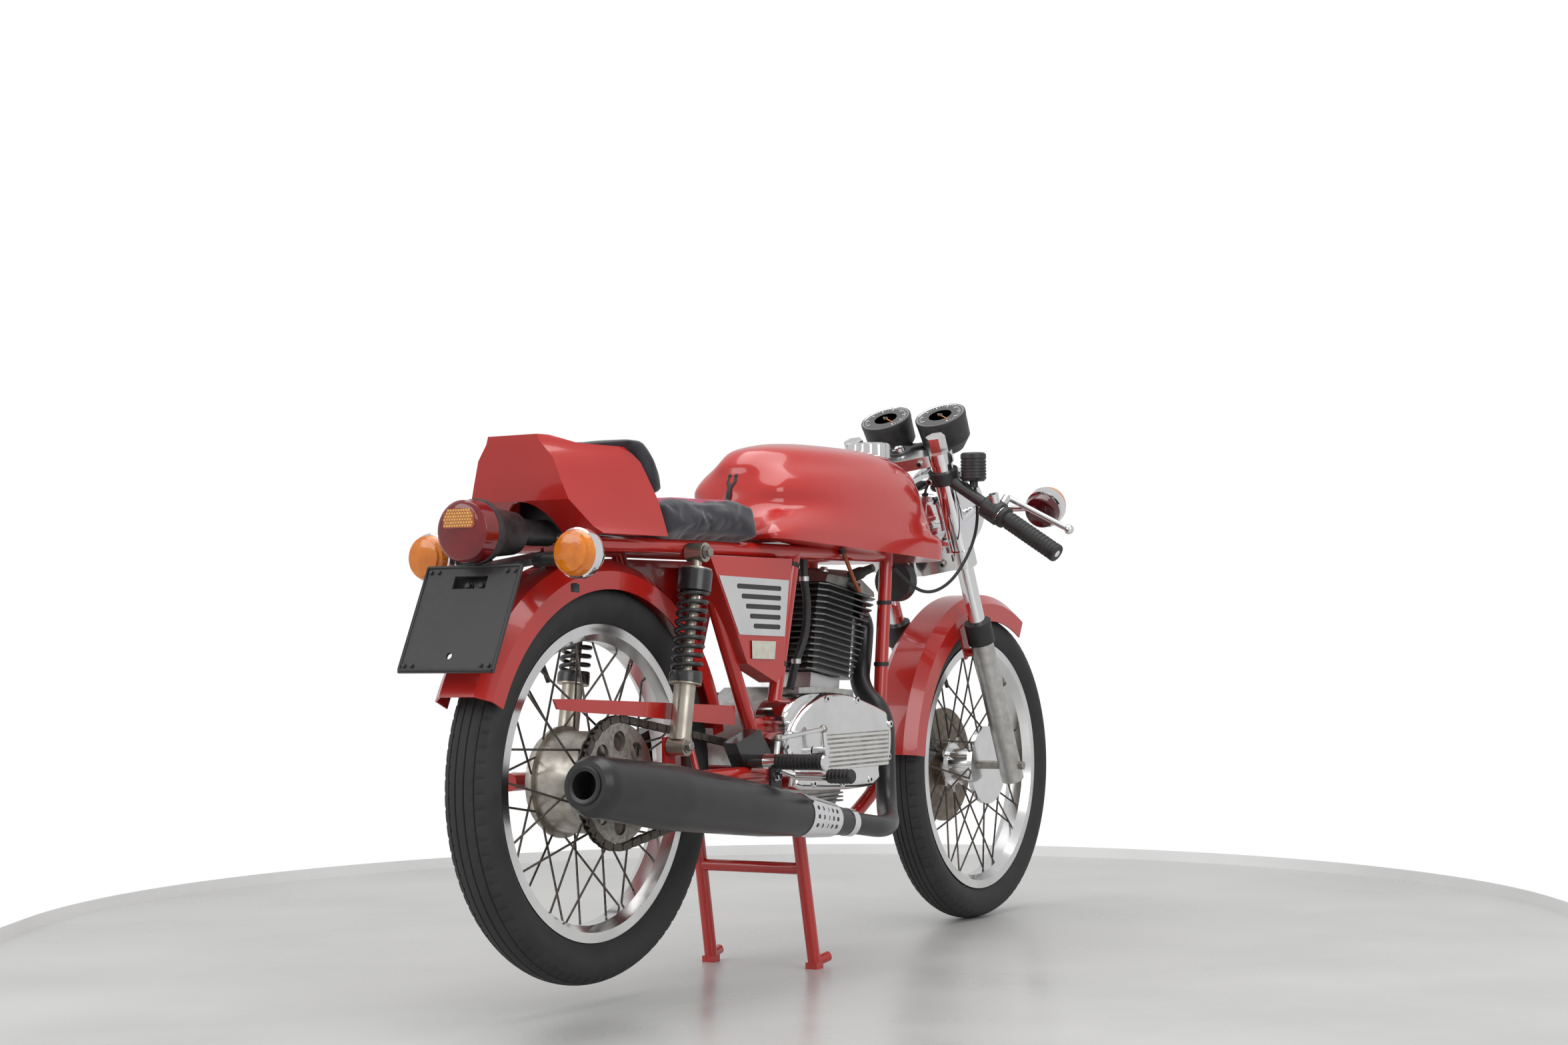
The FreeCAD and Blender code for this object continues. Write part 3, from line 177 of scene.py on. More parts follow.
HEAD = surface("head_alloy", (0.34, 0.33, 0.31), (0.26, 0.25, 0.23), (0.34, 0.46), 0.9, 50, (1e-4, 700))
SUEDE = surface("seat_suede", (0.012, 0.012, 0.018), (0.03, 0.03, 0.042), (0.75, 0.9), 0, 24,
                (6e-4, 900), 0, 0.5)
SUEDE_RED = surface("seat_suede_red", (0.4, 0.012, 0.085), (0.3, 0.008, 0.06), (0.7, 0.9), 0, 24,
                    (5e-4, 900), 0, 0.4)
LENS_RED = surface("lens_red", (0.2, 0.004, 0.008), (0.15, 0.003, 0.006), (0.08, 0.16), 0, 30, None, 0.6)
LENS_DARK = surface("lens_dark", (0.09, 0.004, 0.006), (0.05, 0.003, 0.004), (0.08, 0.16), 0, 30, None, 0.6)
LENS_AMBER = surface("lens_amber", (0.8, 0.235, 0.012), (0.68, 0.17, 0.008), (0.08, 0.18), 0, 60,
                     (6e-4, 160), 0.7)
CELL = surface("reflector_cell", (0.86, 0.52, 0.14), (0.7, 0.36, 0.06), (0.12, 0.24), 0, 200, None, 0.5)
CELL_BACK = surface("reflector_back", (0.42, 0.075, 0.03), (0.36, 0.06, 0.02), (0.2, 0.3), 0, 80, None, 0.4)
GLASS = surface("gauge_glass", (0.012, 0.012, 0.014), (0.02, 0.02, 0.022), (0.03, 0.06), 0, 10, None, 1.0)
DIAL_WHITE = surface("dial_white", (0.8, 0.8, 0.78), (0.72, 0.72, 0.7), (0.4, 0.5), 0, 60)
LEAD = surface("lead_orange", (0.34, 0.085, 0.028), (0.24, 0.06, 0.022), (0.45, 0.6), 0, 300)
PANEL = surface("panel_silver", (0.74, 0.74, 0.75), (0.68, 0.68, 0.69), (0.3, 0.42), 0.7, 16, (2e-5, 400))
BADGE = surface("badge_cream", (0.62, 0.6, 0.52), (0.54, 0.52, 0.45), (0.3, 0.4), 0, 80)
CLEAR = surface("lamp_glass", (0.7, 0.72, 0.74), (0.58, 0.6, 0.62), (0.05, 0.12), 0.55, 60, (8e-4, 120), 0.8)

# The CAD nodes by their finish
nodes_by_finish = (
    (RED, "frame swingarm fuel_tank tail_cowl side_covers rear_mudguard front_mudguard"),
    (RED, "chain_guard centre_stand"),
    (TYRE, "rear_tyre front_tyre"), (RIM, "rear_rim front_rim"), (HUB, "rear_hub"), (DISC, "brake_disc"),
    (POLISHED, "front_hub engine_covers filler_cap foot_controls fork_yokes control_levers"),
    (STEEL, "rear_sprocket rear_axle front_axle"), (CHAIN, "drive_chain"), (DAMPER, "rear_dampers"),
    (BLACK, "rear_springs cylinder footrests brake_caliper"), (CAST, "crankcase carburettor fork_sliders"),
    (SATIN_BLACK, "exhaust_pipe silencer"), (RUBBER, "fork_gaiters grips control_cables"),
    (CHROME, "heat_shield rear_indicators front_indicators fork_tubes headlamp"),
    (PLASTIC, "plate_holder tail_lamp horn handlebars instruments seat_pad bolster_pad"),
)


def shade_smooth(mesh):
    """Shade every face smooth."""
    mesh.polygons.foreach_set("use_smooth", [True] * len(mesh.polygons))


def smooth_by_angle(thing, degrees):
    """Shade a mesh smooth, with its sharp edges kept."""
    shade_smooth(thing.data)
    limit = math.radians(degrees)
    work = bmesh.new()
    work.from_mesh(thing.data)
    for edge in work.edges:
        edge.smooth = len(edge.link_faces) == 2 and edge.calc_face_angle(0) < limit
    work.to_mesh(thing.data)
    work.free()


def finish_cad_nodes():
    """Every carried-over CAD node gets its finish."""
    finishes = {name: made for made, names in nodes_by_finish for name in names.split()}
    for name, node in frame["nodes"].items():
        node.data.materials.clear()
        node.data.materials.append(finishes[name])
        node.modifiers.new("weld", "WELD").merge_threshold = WELD
        shade_smooth(node.data)
        by_angle = node.modifiers.new("edges", "EDGE_SPLIT")
        by_angle.split_angle = math.radians(28)
        by_angle.use_edge_sharp = False


finish_cad_nodes()


# Tools for making pieces

def keep(piece, body, slot, *nodes):
    """Let a finished piece ride on its body and hide the CAD nodes it stands for; the slot is not used."""
    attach(piece, body)
    if nodes:
        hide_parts(*nodes)


def from_mesh(name, points, faces, *materials):
    """A new object from points and faces."""
    mesh = bpy.data.meshes.new(name)
    mesh.from_pydata([tuple(p) for p in points], [], faces)
    mesh.validate()
    thing = bpy.data.objects.new(name, mesh)
    for made in materials:
        mesh.materials.append(made)
    bpy.context.scene.collection.objects.link(thing)
    return thing


def closed_up(mesh):
    """Join the points that meet and turn every face outwards."""
    work = bmesh.new()
    work.from_mesh(mesh)
    bmesh.ops.remove_doubles(work, verts=work.verts, dist=WELD)
    bmesh.ops.dissolve_degenerate(work, edges=work.edges, dist=WELD / 2)
    bmesh.ops.recalc_face_normals(work, faces=work.faces)
    work.to_mesh(mesh)
    work.free()


def applied(thing):
    """Turn an object's modifiers into its mesh."""
    graph = bpy.context.evaluated_depsgraph_get()
    graph.update()
    mesh = bpy.data.meshes.new_from_object(thing.evaluated_get(graph))
    thing.modifiers.clear()
    thing.data = mesh


class Maker:
    """Collects turned, extruded and round shapes into one mesh; look is the number of a material."""

    def __init__(self, *materials):
        self.materials = materials
        self.points = []
        self.faces = []
        self.looks = []

    def rows(self, rows, look=0):
        """Faces between closed rings of points."""
        first = len(self.points)
        count = len(rows[0])
        for row in rows:
            self.points.extend(row)
        for r in range(len(rows) - 1):
            for i in range(count):
                a = first + r * count + i
                b = first + r * count + (i + 1) % count
                self.faces.append((a, b, b + count, a + count))
                self.looks.append(look)

    def cap(self, ring, look):
        """One face over a ring of points."""
        first = len(self.points)
        self.points.extend(ring)
        self.faces.append(tuple(range(first, first + len(ring))))
        self.looks.append(look)

    def lofted(self, rings, look=0, wall_look=None):
        """A closed shape through rings of points."""
        self.rows(rings, look if wall_look is None else wall_look)
        self.cap(list(reversed(rings[0])), look)
        self.cap(rings[-1], look)

    def prism(self, ring, offset, look=0, wall_look=None):
        """A closed outline pushed along an offset."""
        self.lofted([ring, [p + offset for p in ring]], look, wall_look)

    def turned(self, profile, centre, axis, look=0, steps=28):
        """A shape of revolution; the profile is (distance along the axis, radius) in millimetres."""
        axis = axis.normalized()
        side = axis.orthogonal().normalized()
        ways = [turned_to(side, axis.cross(side), 2 * math.pi * s / steps) for s in range(steps)]
        rings = []
        for along, radius in profile:
            rings.append([centre + (axis * along + way * radius) * MM for way in ways])
        self.rows(rings, look)

    def rod(self, start, end, radius, look=0, steps=18):
        """A round bar between two places."""
        length = (end - start).length / MM
        self.turned([(0, 0), (0, radius), (length, radius), (length, 0)], start, end - start, look, steps)

    def band(self, start, end, inner, outer, centre, axis, look=0, steps=28):
        """A flat band round a bar."""
        self.turned([(start, inner), (start, outer), (end, outer), (end, inner)], centre, axis, look, steps)

    def ribs(self, count, start, pitch, width, inner, outer, centre, axis, look=0, steps=28):
        """Round ribs, a pitch apart, with chamfered edges."""
        for index in range(count):
            low = start + pitch * index
            self.turned([(low, inner), (low + 1, outer), (low + width - 1, outer), (low + width, inner)],
                        centre, axis, look, steps)

    def ball(self, centre, radius, look=0):
        """A ball."""
        turns = [math.pi * i / 10 for i in range(11)]
        self.turned([(-radius * math.cos(t), radius * math.sin(t)) for t in turns], centre, to_top, look, 18)

    def tube(self, path, radius, look=0, steps=10):
        """A round wire along a path of places."""
        rings = []
        side = (path[1] - path[0]).orthogonal().normalized()
        for i, place in enumerate(path):
            run = (path[min(i + 1, len(path) - 1)] - path[max(i - 1, 0)]).normalized()
            side = (side - run * side.dot(run)).normalized()
            rings.append([place + turned_to(side, run.cross(side), 2 * math.pi * s / steps) * radius * MM
                          for s in range(steps)])
        self.lofted(rings, look)

    def bolt(self, place, axis, radius, height, look=0):
        """A hexagon head on a washer."""
        seat, washer = height * 0.2, radius * 1.35
        self.turned([(0, 0), (0, washer), (seat, washer), (seat, 0)], place, axis, look, 20)
        self.turned([(seat, 0), (seat, radius), (height * 0.9, radius), (height, radius * 0.8), (height, 0)],
                    place, axis, look, 6)

    def socket_bolt(self, place, axis, radius, height, look, dark):
        """A round head with its hexagon socket in a dark material: painted shade in the recess."""
        socket = radius * 0.5
        self.turned([(0, 0), (0, radius), (height * 0.85, radius), (height, radius * 0.85), (height, socket)],
                    place, axis, look, 20)
        # The socket's inside takes the dark material: painted shade in the recess
        self.turned([(height, socket), (height * 0.5, socket), (height * 0.5, 0)], place, axis, dark, 6)

    def finish(self, name, body, slot, *nodes, angle=32):
        """Make the piece."""
        thing = from_mesh(name, self.points, self.faces, *self.materials)
        if len(thing.data.polygons) == len(self.looks):
            thing.data.polygons.foreach_set("material_index", self.looks)
        closed_up(thing.data)
        smooth_by_angle(thing, angle)
        keep(thing, body, slot, *nodes)


def curved(points, per_span, closed=True):
    """More points on a smooth curve through the points given."""
    count = len(points)
    made = []
    for i in range(count if closed else count - 1):
        if closed:
            p0, p1, p2, p3 = (points[(i + k) % count] for k in (-1, 0, 1, 2))
        else:
            p0, p1, p2, p3 = points[max(i - 1, 0)], points[i], points[i + 1], points[min(i + 2, count - 1)]
        for s in range(per_span):
            t = s / per_span
            made.append(p1 * (1 - 3 * t * t + 2 * t ** 3) + p2 * (3 * t * t - 2 * t ** 3)
                        + (p2 - p0) * 0.5 * (t ** 3 - 2 * t * t + t) + (p3 - p1) * 0.5 * (t ** 3 - t * t))
    return made if closed else made + [points[-1]]


def shrunk(ring, share):
    """A ring drawn in towards its middle."""
    middle = sum(ring, Vector()) / len(ring)
    return [p + (middle - p) * share for p in ring]


def repaint(name, made, test):
    """Give the faces of a CAD node whose centre passes a test another material."""
    mesh = frame["nodes"][name].data
    mesh.materials.append(made)
    for face in mesh.polygons:
        if test(face.center):
            face.material_index = len(mesh.materials) - 1


def cut_plate(outlines, thickness):
    """A flat plate with holes, as a mesh: the first outline is the rim, in millimetres."""
    curve = bpy.data.curves.new("plate", "CURVE")
    curve.dimensions = "2D"
    curve.fill_mode = "BOTH"
    curve.extrude = thickness / 2 * MM
    for outline in outlines:
        spline = curve.splines.new("POLY")
        spline.points.add(len(outline) - 1)
        for point, (x, z) in zip(spline.points, outline):
            point.co = (x * MM, z * MM, 0, 1)
        spline.use_cyclic_u = True
    thing = bpy.data.objects.new("plate", curve)
    mesh = bpy.data.meshes.new_from_object(thing)
    bpy.data.objects.remove(thing)
    return mesh


# Camera, lights and floor

def camera():
    """The camera stands where the photograph was taken: behind, to the right, near the floor."""
    place = at(-3060.7, -2203.6, 553.7)
    pitch, roll = 0.0473, -0.0121
    ahead = turned_to(turned_to(to_front, to_left, VIEW_YAW), to_top, pitch)
    right = Vector((math.sin(VIEW_YAW), -math.cos(VIEW_YAW), 0))
    up = right.cross(ahead)
    turn = Matrix((turned_to(right, up, roll), turned_to(up, -right, roll), -ahead)).transposed()
    lens_data = bpy.data.cameras.new("camera")
    lens_data.lens = 56.28
    lens_data.sensor_width = 36.0
    lens_data.clip_end = 60.0
    eye = bpy.data.objects.new("camera", lens_data)
    eye.matrix_world = Matrix.Translation(place) @ turn.to_4x4()
    bpy.context.scene.collection.objects.link(eye)
    bpy.context.scene.camera = eye


def floor_material():
    """Pale grey polished concrete."""
    made, shader = new_material("floor")
    soft = noise(made, 2.2, detail=8.0)
    links = made.node_tree.links
    links.new(mixed(made, soft, (0.50, 0.50, 0.49), (0.58, 0.58, 0.57)), shader.inputs["Base Color"])
    links.new(spread(made, soft, 0.22, 0.36), shader.inputs["Roughness"])
    return made


def floor_shape():
    """The floor ends in a half round behind the motorcycle, under a low skirting."""
    look = turned_to(to_front, to_left, VIEW_YAW)
    aside = Vector((look.y, -look.x, 0))
    middle = at(1080.0, 280.0, 0)
    radius, reach, skirting, steps = 1.5, 6.0, 0.025, 64
    edge = [middle - aside * radius - look * reach]
    for step in range(steps + 1):
        edge.append(middle + turned_to(look, aside, math.pi * (step / steps - 0.5)) * radius)
    edge.append(middle + aside * radius - look * reach)
    count = len(edge)
    ground = from_mesh("floor", edge, [list(reversed(range(count)))], floor_material())
    strip = [(i, i + 1, count + i + 1, count + i) for i in range(count - 1)]
    white = surface("skirting", (0.80, 0.80, 0.80), (0.84, 0.84, 0.84), (0.4, 0.5), 0, 3)
    band = from_mesh("skirting", edge + [p + to_top * skirting for p in edge], strip, white)


def studio():
    """A pale floor in a white room, lit softly from above and from both sides."""
    floor_shape()
    scene = bpy.context.scene
    scene.world = bpy.data.worlds.new("studio")
    scene.world.use_nodes = True
    nodes, links = scene.world.node_tree.nodes, scene.world.node_tree.links
    nodes.clear()
    output = nodes.new("ShaderNodeOutputWorld")
    mix = nodes.new("ShaderNodeMixShader")
    path = nodes.new("ShaderNodeLightPath")
    links.new(path.outputs["Is Camera Ray"], mix.inputs["Fac"])
    for socket, strength in ((1, 0.62), (2, 1.0)):
        white = nodes.new("ShaderNodeBackground")
        white.inputs["Color"].default_value = (1, 1, 1, 1)
        white.inputs["Strength"].default_value = strength
        links.new(white.outputs["Background"], mix.inputs[socket])
    links.new(mix.outputs["Shader"], output.inputs["Surface"])
    for name, place, size, power in (("overhead", (0.0, 0.0, 3.6), 3.2, 70.0),
                                     ("right_side", (-1.6, -3.6, 2.2), 2.4, 46.0),
                                     ("behind", (-3.6, 1.6, 2.4), 2.0, 30.0)):
        lamp = bpy.data.lights.new(name, "AREA")
        lamp.size = size
        lamp.energy = power
        thing = bpy.data.objects.new(name, lamp)
        thing.location = place
        aim = Vector((0, 0, 0.5)) - Vector(place)
        thing.rotation_mode = "QUATERNION"
        thing.rotation_quaternion = aim.to_track_quat("-Z", "Y")
        scene.collection.objects.link(thing)
    scene.view_settings.view_transform = "Standard"


# Wheels

def tyre(name, node, body, axle, radius, width, grooves):
    """A tyre with its tread cut round it: grooves along the tyre and sipes across the shoulders."""
    rim_radius, blocks, phases = 241.5, 84, 6
    # Across the tread: steps, share of the width, and how far and how fast its edges fall
    tread_count, tread_share, crown_drop, crown_power = 48, 0.84, 0.19, 2.2
    groove_depth, groove_half = 2.6, 0.028
    # Sipes: distance from the outer groove, width of the inner ones, and both depths as shares
    sipe_start, sipe_width, outer_sipe, inner_sipe = 0.05, 0.12, 0.9, 0.7
    around = blocks * phases
    half = width / 2
    depth = radius - rim_radius
    wall = [(-0.58, 0.0), (-0.72, 0.08), (-0.90, 0.26), (-1.0, 0.46), (-0.97, 0.62), (-0.88, 0.76)]
    profile = [(half * a, rim_radius + depth * b, None) for a, b in wall]
    for index in range(tread_count + 1):
        t = -1 + 2 * index / tread_count
        crown = 1 - crown_drop * abs(t) ** crown_power
        profile.append((half * tread_share * t, rim_radius + depth * crown, t))
    profile += [(-a, r, t) for a, r, t in reversed(profile[:len(wall)])]

    def cut(t, phase):
        if t is None:
            return 0.0
        if any(abs(t - g) < groove_half for g in grooves):
            return groove_depth
        if phase == 0 and abs(t) > grooves[-1] + sipe_start:
            return groove_depth * outer_sipe
        if phase == 2 and max(grooves[-2], grooves[-1] - sipe_width) < abs(t) < grooves[-1]:
            return groove_depth * inner_sipe
        return 0.0

    points = []
    for step in range(around):
        way = turned_to(to_front, to_top, 2 * math.pi * step / around)
        for across, r, t in profile:
            points.append(axle + (way * (r - cut(t, step % phases)) + to_left * across) * MM)
    row = len(profile)
    faces = []
    for step in range(around):
        here, after = step * row, (step + 1) % around * row
        faces += [(here + i, here + i + 1, after + i + 1, after + i) for i in range(row - 1)]
    thing = from_mesh(name, points, faces, TYRE)
    smooth_by_angle(thing, 30)
    keep(thing, body, "tyre_rubber", node)


def wheel_bolts(body, axle, radius, side, y):
    """The bolts on a wheel's hub, and its valve."""
    made = Maker(STEEL, RUBBER)
    for k in range(6):
        way = turned_to(to_front, to_top, 2 * math.pi * k / 6 + 0.3)
        made.bolt(axle + (way * radius + to_left * y) * MM, to_left * side, 5.5, 6.0)
    valve = turned_to(to_front, to_top, 2.1)
    made.rod(axle + valve * 0.2165, axle + valve * 0.180, 4.0, 1, 14)
    made.finish(body + "_bolts_and_valve", body, "steel")


def chain_pins(links):
    """The places of the chain's pins, evenly round both sprockets."""
    big, big_radius = Vector((0, 0, 338)), 97.1
    small, small_radius = Vector((426.4, 0, 335)), 30.5
    gap = small - big
    slope = math.atan2(gap.z, gap.x)
    open_by = math.asin((big_radius - small_radius) / gap.length)
    start, end = slope + math.pi / 2 - open_by, slope - math.pi / 2 + open_by

    def rim(centre, radius, turn):
        return centre + turned_to(to_front, to_top, turn) * radius

    def arc(centre, radius, first, last, count):
        return [rim(centre, radius, first + (last - first) * k / count) for k in range(count)]

    def run(first, last):
        return [first.lerp(last, k / 300) for k in range(300)]

    path = arc(big, big_radius, start, end + 2 * math.pi, 200)
    path += run(rim(big, big_radius, end), rim(small, small_radius, end))
    path += arc(small, small_radius, end, start, 80)
    path += run(rim(small, small_radius, start), rim(big, big_radius, start))
    total = [0.0]
    for p, q in zip(path, path[1:] + path[:1]):
        total.append(total[-1] + (q - p).length)
    pins, j = [], 0
    for k in range(links):
        target = total[-1] * k / links
        while total[j + 1] < target:
            j += 1
        pins.append(path[j].lerp(path[(j + 1) % len(path)], (target - total[j]) / (total[j + 1] - total[j])))
    return pins


def chain():
    """A roller chain with its plates, rollers and pins."""
    links, y_middle, plate_radius, plate = 100, -62.0, 5.6, 0.0013
    pin_half, pin_radius, roller_half, roller_radius = 6.5, 2.4, 3.4, 4.0
    inner_plate, outer_plate = 3.8, 5.4
    pins = chain_pins(links)
    made = Maker(CHAIN)
    for k, p in enumerate(pins):
        q = pins[(k + 1) % links]
        place = at(p.x, y_middle, p.z)
        made.band(-pin_half, pin_half, 0, pin_radius, place, to_left, 0, 8)
        made.band(-roller_half, roller_half, pin_radius, roller_radius, place, to_left, 0, 10)
        ahead = (q - p).normalized()
        across = Vector((-ahead.z, 0, ahead.x))
        outline = [end + turned_to(ahead, across, math.pi * (first + s / 5)) * plate_radius
                   for end, first in ((p, 0.5), (q, -0.5)) for s in range(6)]
        out = inner_plate if k % 2 else outer_plate
        for side in SIDES:
            made.prism([at(o.x, y_middle + side * out, o.z) for o in outline], to_left * side * plate)
    made.finish("roller_chain", "chassis", "chain_steel", "drive_chain")


# Bodywork

def fuel_tank():
    """The tank: narrow rounded back with a soft crease, broad sides and a flared lower edge."""
    foot = ((0.026, 0.019, 0, 0.029, 0.12, 0.364, 0.656, 0.851, 0.956, 0.99, 1),
            (0, 0.493, 0.817, 0.937, 0.986, 1, 1, 0.979, 0.901, 0.451, 0))
    # Each level: its share of the height, then shares of the length and of the half width, from back to front
    levels = (
        (0, *foot), (0.051, *foot),
        (0.136, (0.058, 0.054, 0.032, 0.062, 0.144, 0.372, 0.656, 0.826, 0.924, 0.955, 0.966),
         (0, 0.423, 0.761, 0.873, 0.958, 0.993, 0.986, 0.944, 0.831, 0.408, 0)),
        (0.324, (0.088, 0.094, 0.133, 0.169, 0.247, 0.404, 0.656, 0.826, 0.912, 0.948, 0.963),
         (0, 0.324, 0.577, 0.683, 0.831, 0.944, 0.958, 0.908, 0.768, 0.38, 0)),
        (0.494, (0.104, 0.114, 0.138, 0.179, 0.266, 0.42, 0.656, 0.821, 0.906, 0.946, 0.963),
         (0, 0.31, 0.563, 0.676, 0.803, 0.894, 0.915, 0.859, 0.718, 0.366, 0)),
        (0.636, (0.122, 0.133, 0.166, 0.208, 0.295, 0.442, 0.656, 0.818, 0.904, 0.946, 0.964),
         (0, 0.282, 0.507, 0.62, 0.739, 0.824, 0.845, 0.789, 0.655, 0.338, 0)),
        (0.761, (0.136, 0.148, 0.198, 0.25, 0.334, 0.469, 0.664, 0.818, 0.904, 0.948, 0.966),
         (0, 0.239, 0.408, 0.514, 0.62, 0.711, 0.746, 0.69, 0.57, 0.296, 0)),
        (0.892, (0.185, 0.201, 0.244, 0.294, 0.377, 0.502, 0.672, 0.799, 0.88, 0.932, 0.955),
         (0, 0.204, 0.331, 0.423, 0.507, 0.577, 0.592, 0.521, 0.394, 0.204, 0)),
        (0.966, (0.282, 0.3, 0.334, 0.383, 0.448, 0.55, 0.672, 0.769, 0.844, 0.896, 0.919),
         (0, 0.127, 0.211, 0.282, 0.338, 0.38, 0.387, 0.338, 0.246, 0.127, 0)),
        (0.997, (0.396, 0.406, 0.425, 0.458, 0.502, 0.567, 0.664, 0.734, 0.789, 0.825, 0.838),
         (0, 0.056, 0.099, 0.134, 0.162, 0.183, 0.183, 0.155, 0.113, 0.056, 0)),
    )
    rear, length, half, low, height, front_drop = 356.0, 615.9, 142.0, 718.0, 176.0, 27.0
    rings = []
    for share, ahead, aside in levels:
        drop = front_drop if share == 0 else 0.0
        ring = [at(rear + length * x, -half * y, low - drop * x + height * share)
                for x, y in zip(ahead, aside)]
        ring += [Vector((p.x, -p.y, p.z)) for p in reversed(ring[1:-1])]
        rings.append(curved(ring, 5))
    columns = [curved(list(column), 4, closed=False) for column in zip(*rings)]
    made = Maker(RED)
    made.lofted([list(row) for row in zip(*columns)])
    made.finish("tank_shell", "chassis", "red_paint", "fuel_tank", angle=50)
    hook = Maker(RUBBER)
    fork = at(421, -2, 808)
    hook.tube([at(412, -2, 786), at(414, -3, 797), fork], 4.2)
    for side in SIDES:
        hook.tube([fork, at(427, -2 + side * 7, 817), at(432, -2 + side * 6, 826)], 3.4)
        hook.ball(at(433, -2 + side * 6, 828), 4.6)
    hook.ball(at(411, -2, 784), 6.0)
    hook.finish("seat_hook", "chassis", "soft_rubber")


def filler_cap():
    """The lobed filler cap."""
    x, radius, lobes, steps = 907.4, 40, 8, 96
    rings = []
    for z, draw in ((885, 0.0), (908, 0.0), (911.5, 0.04), (913, 0.12)):
        ring = []
        for step in range(steps):
            notch = abs((step / steps * lobes) % 1 - 0.5) * 2
            r = radius * (1 - draw) * (1 - 0.085 * max(0.0, notch - 0.55) / 0.45)
            way = turned_to(to_front, to_left, 2 * math.pi * step / steps)
            ring.append(at(x + r * way.x, r * way.y, z))
        rings.append(ring)
    cap = Maker(POLISHED)
    cap.lofted(rings)
    cap.finish("lobed_filler_cap", "chassis", "polished_alloy", "filler_cap", angle=28)


def between(table, key):
    """The values of a table at a key, from its rows (key, values ...)."""
    for a, b in zip(table, table[1:]):
        if key <= b[0]:
            t = (key - a[0]) / (b[0] - a[0])
            return [p + (q - p) * t for p, q in zip(a[1:], b[1:])]
    return list(table[-1][1:])


def tail_cowl():
    """The tail cowl: flat sides, a crease behind them, a low hump and an arch over the lamp."""
    # Shares of the height; then of the length and half width at the back, and the same at the front
    levels = ((0.000, 0.711, 1.000, 0.000, 1.000), (0.068, 0.762, 0.913, 0.000, 1.000),
              (0.336, 0.933, 0.783, 0.000, 0.985), (0.514, 0.952, 0.704, 0.000, 0.970),
              (0.760, 0.971, 0.600, 0.000, 0.950), (0.918, 0.992, 0.435, 0.000, 0.925),
              (0.932, 0.994, 0.425, 0.703, 0.574), (1.000, 1.000, 0.391, 0.891, 0.430))
    # The front edge of the sides: height and place along the motorcycle
    opening = ((712.3, 63.0), (769.2, 42.0), (828.4, 9.0), (846.0, -14.0), (870.0, -46.0))
    front, length, half, low, height = 63.0, 239.0, 115.0, 712.3, 146.0
    closed_from, steps, wall_thickness, arch_radius, arch_z = 0.9, 6, 0.003, 42.0, 718.3
    heights = [0.0, 0.034, 0.068, 0.15, 0.25, 0.336, 0.42, 0.514, 0.64, 0.76, 0.84, 0.918, 0.932, 0.966, 1.0]
    points, faces = [], []
    for share in heights:
        rear, rear_half, fore, fore_half = between(levels, share)
        z = low + height * share
        rear_x, fore_x = front - length * rear, front - length * fore
        cut_x = min(fore_x, between(opening, z)[0])
        y_rear = half * rear_half
        y_fore = y_rear + (half * fore_half - y_rear) * (cut_x - rear_x) / (fore_x - rear_x)
        sides = [(cut_x + (rear_x - cut_x) * k / steps, y_fore + (y_rear - y_fore) * k / steps)
                 for k in range(steps + 1)]
        points += [at(x, y, z) for x, y in sides]
        points += [at(rear_x, y_rear * (1 - k / 3), z) for k in range(1, steps)]
        points += [at(x, -y, z) for x, y in reversed(sides)]
    count = len(points) // len(heights)
    for r, share in enumerate(heights[:-1]):
        here, above = r * count, (r + 1) * count
        faces += [(here + i, here + i + 1, above + i + 1, above + i) for i in range(count - 1)]
        if share >= closed_from:
            faces.append((above - 1, here, above, above + count - 1))
    faces.append(tuple(len(points) - count + i for i in range(count)))
    shell = from_mesh("cowl_shell", points, faces, RED)
    closed_up(shell.data)
    wall = shell.modifiers.new("wall", "SOLIDIFY")
    wall.thickness = wall_thickness
    wall.offset = -1.0
    arch = Maker()
    arch.rod(at(-250, 0, arch_z), at(-60, 0, arch_z), arch_radius, steps=48)
    cutter = from_mesh("arch_cutter", arch.points, arch.faces)
    cut = shell.modifiers.new("arch", "BOOLEAN")
    cut.object = cutter
    cut.solver = "EXACT"
    applied(shell)
    bpy.data.objects.remove(cutter)
    smooth_by_angle(shell, 24)
    keep(shell, "chassis", "red_paint", "tail_cowl")
    inside = Maker(PLASTIC)
    inside.prism([at(-96, y, z) for y, z in ((-48, 716), (48, 716), (48, 764), (-48, 764))], to_front * 0.004)
    inside.rod(at(-190, 0, 716), at(-92, 0, 716), 20.0)
    inside.finish("cowl_bracket", "chassis", "black_plastic")


def blown_up(thing, cap):
    """Blow a closed mesh up as cloth, no point further than the cap."""
    pressure, steps = 4.0, 14
    start = [v.co.copy() for v in thing.data.vertices]
    settings = thing.modifiers.new("cloth", "CLOTH").settings
    settings.use_pressure = True
    settings.uniform_pressure_force = pressure
    settings.effector_weights.gravity = 0.0
    for step in range(steps):
        bpy.context.scene.frame_set(step + 1)
    applied(thing)
    bpy.context.scene.frame_set(1)
    for vertex, was in zip(thing.data.vertices, start):
        move = vertex.co - was
        if move.length > cap:
            vertex.co = was + move * (cap / move.length)


def fold(point):
    """Soft folds in a cushion: across on its sides and up on its top."""
    x, y, z = in_mm(point)
    deep = lumps.noise(Vector((x * 0.016, y * 0.02, z * 0.035))) * 1.9
    deep += lumps.noise(Vector((x * 0.05, y * 0.05, z * 0.05 + 7))) * 0.5
    side = max(0.0, min(1.0, (abs(y) - 70) / 40))
    return Vector((0, math.copysign(deep * side, y), deep * (1 - side) * 0.35)) * MM


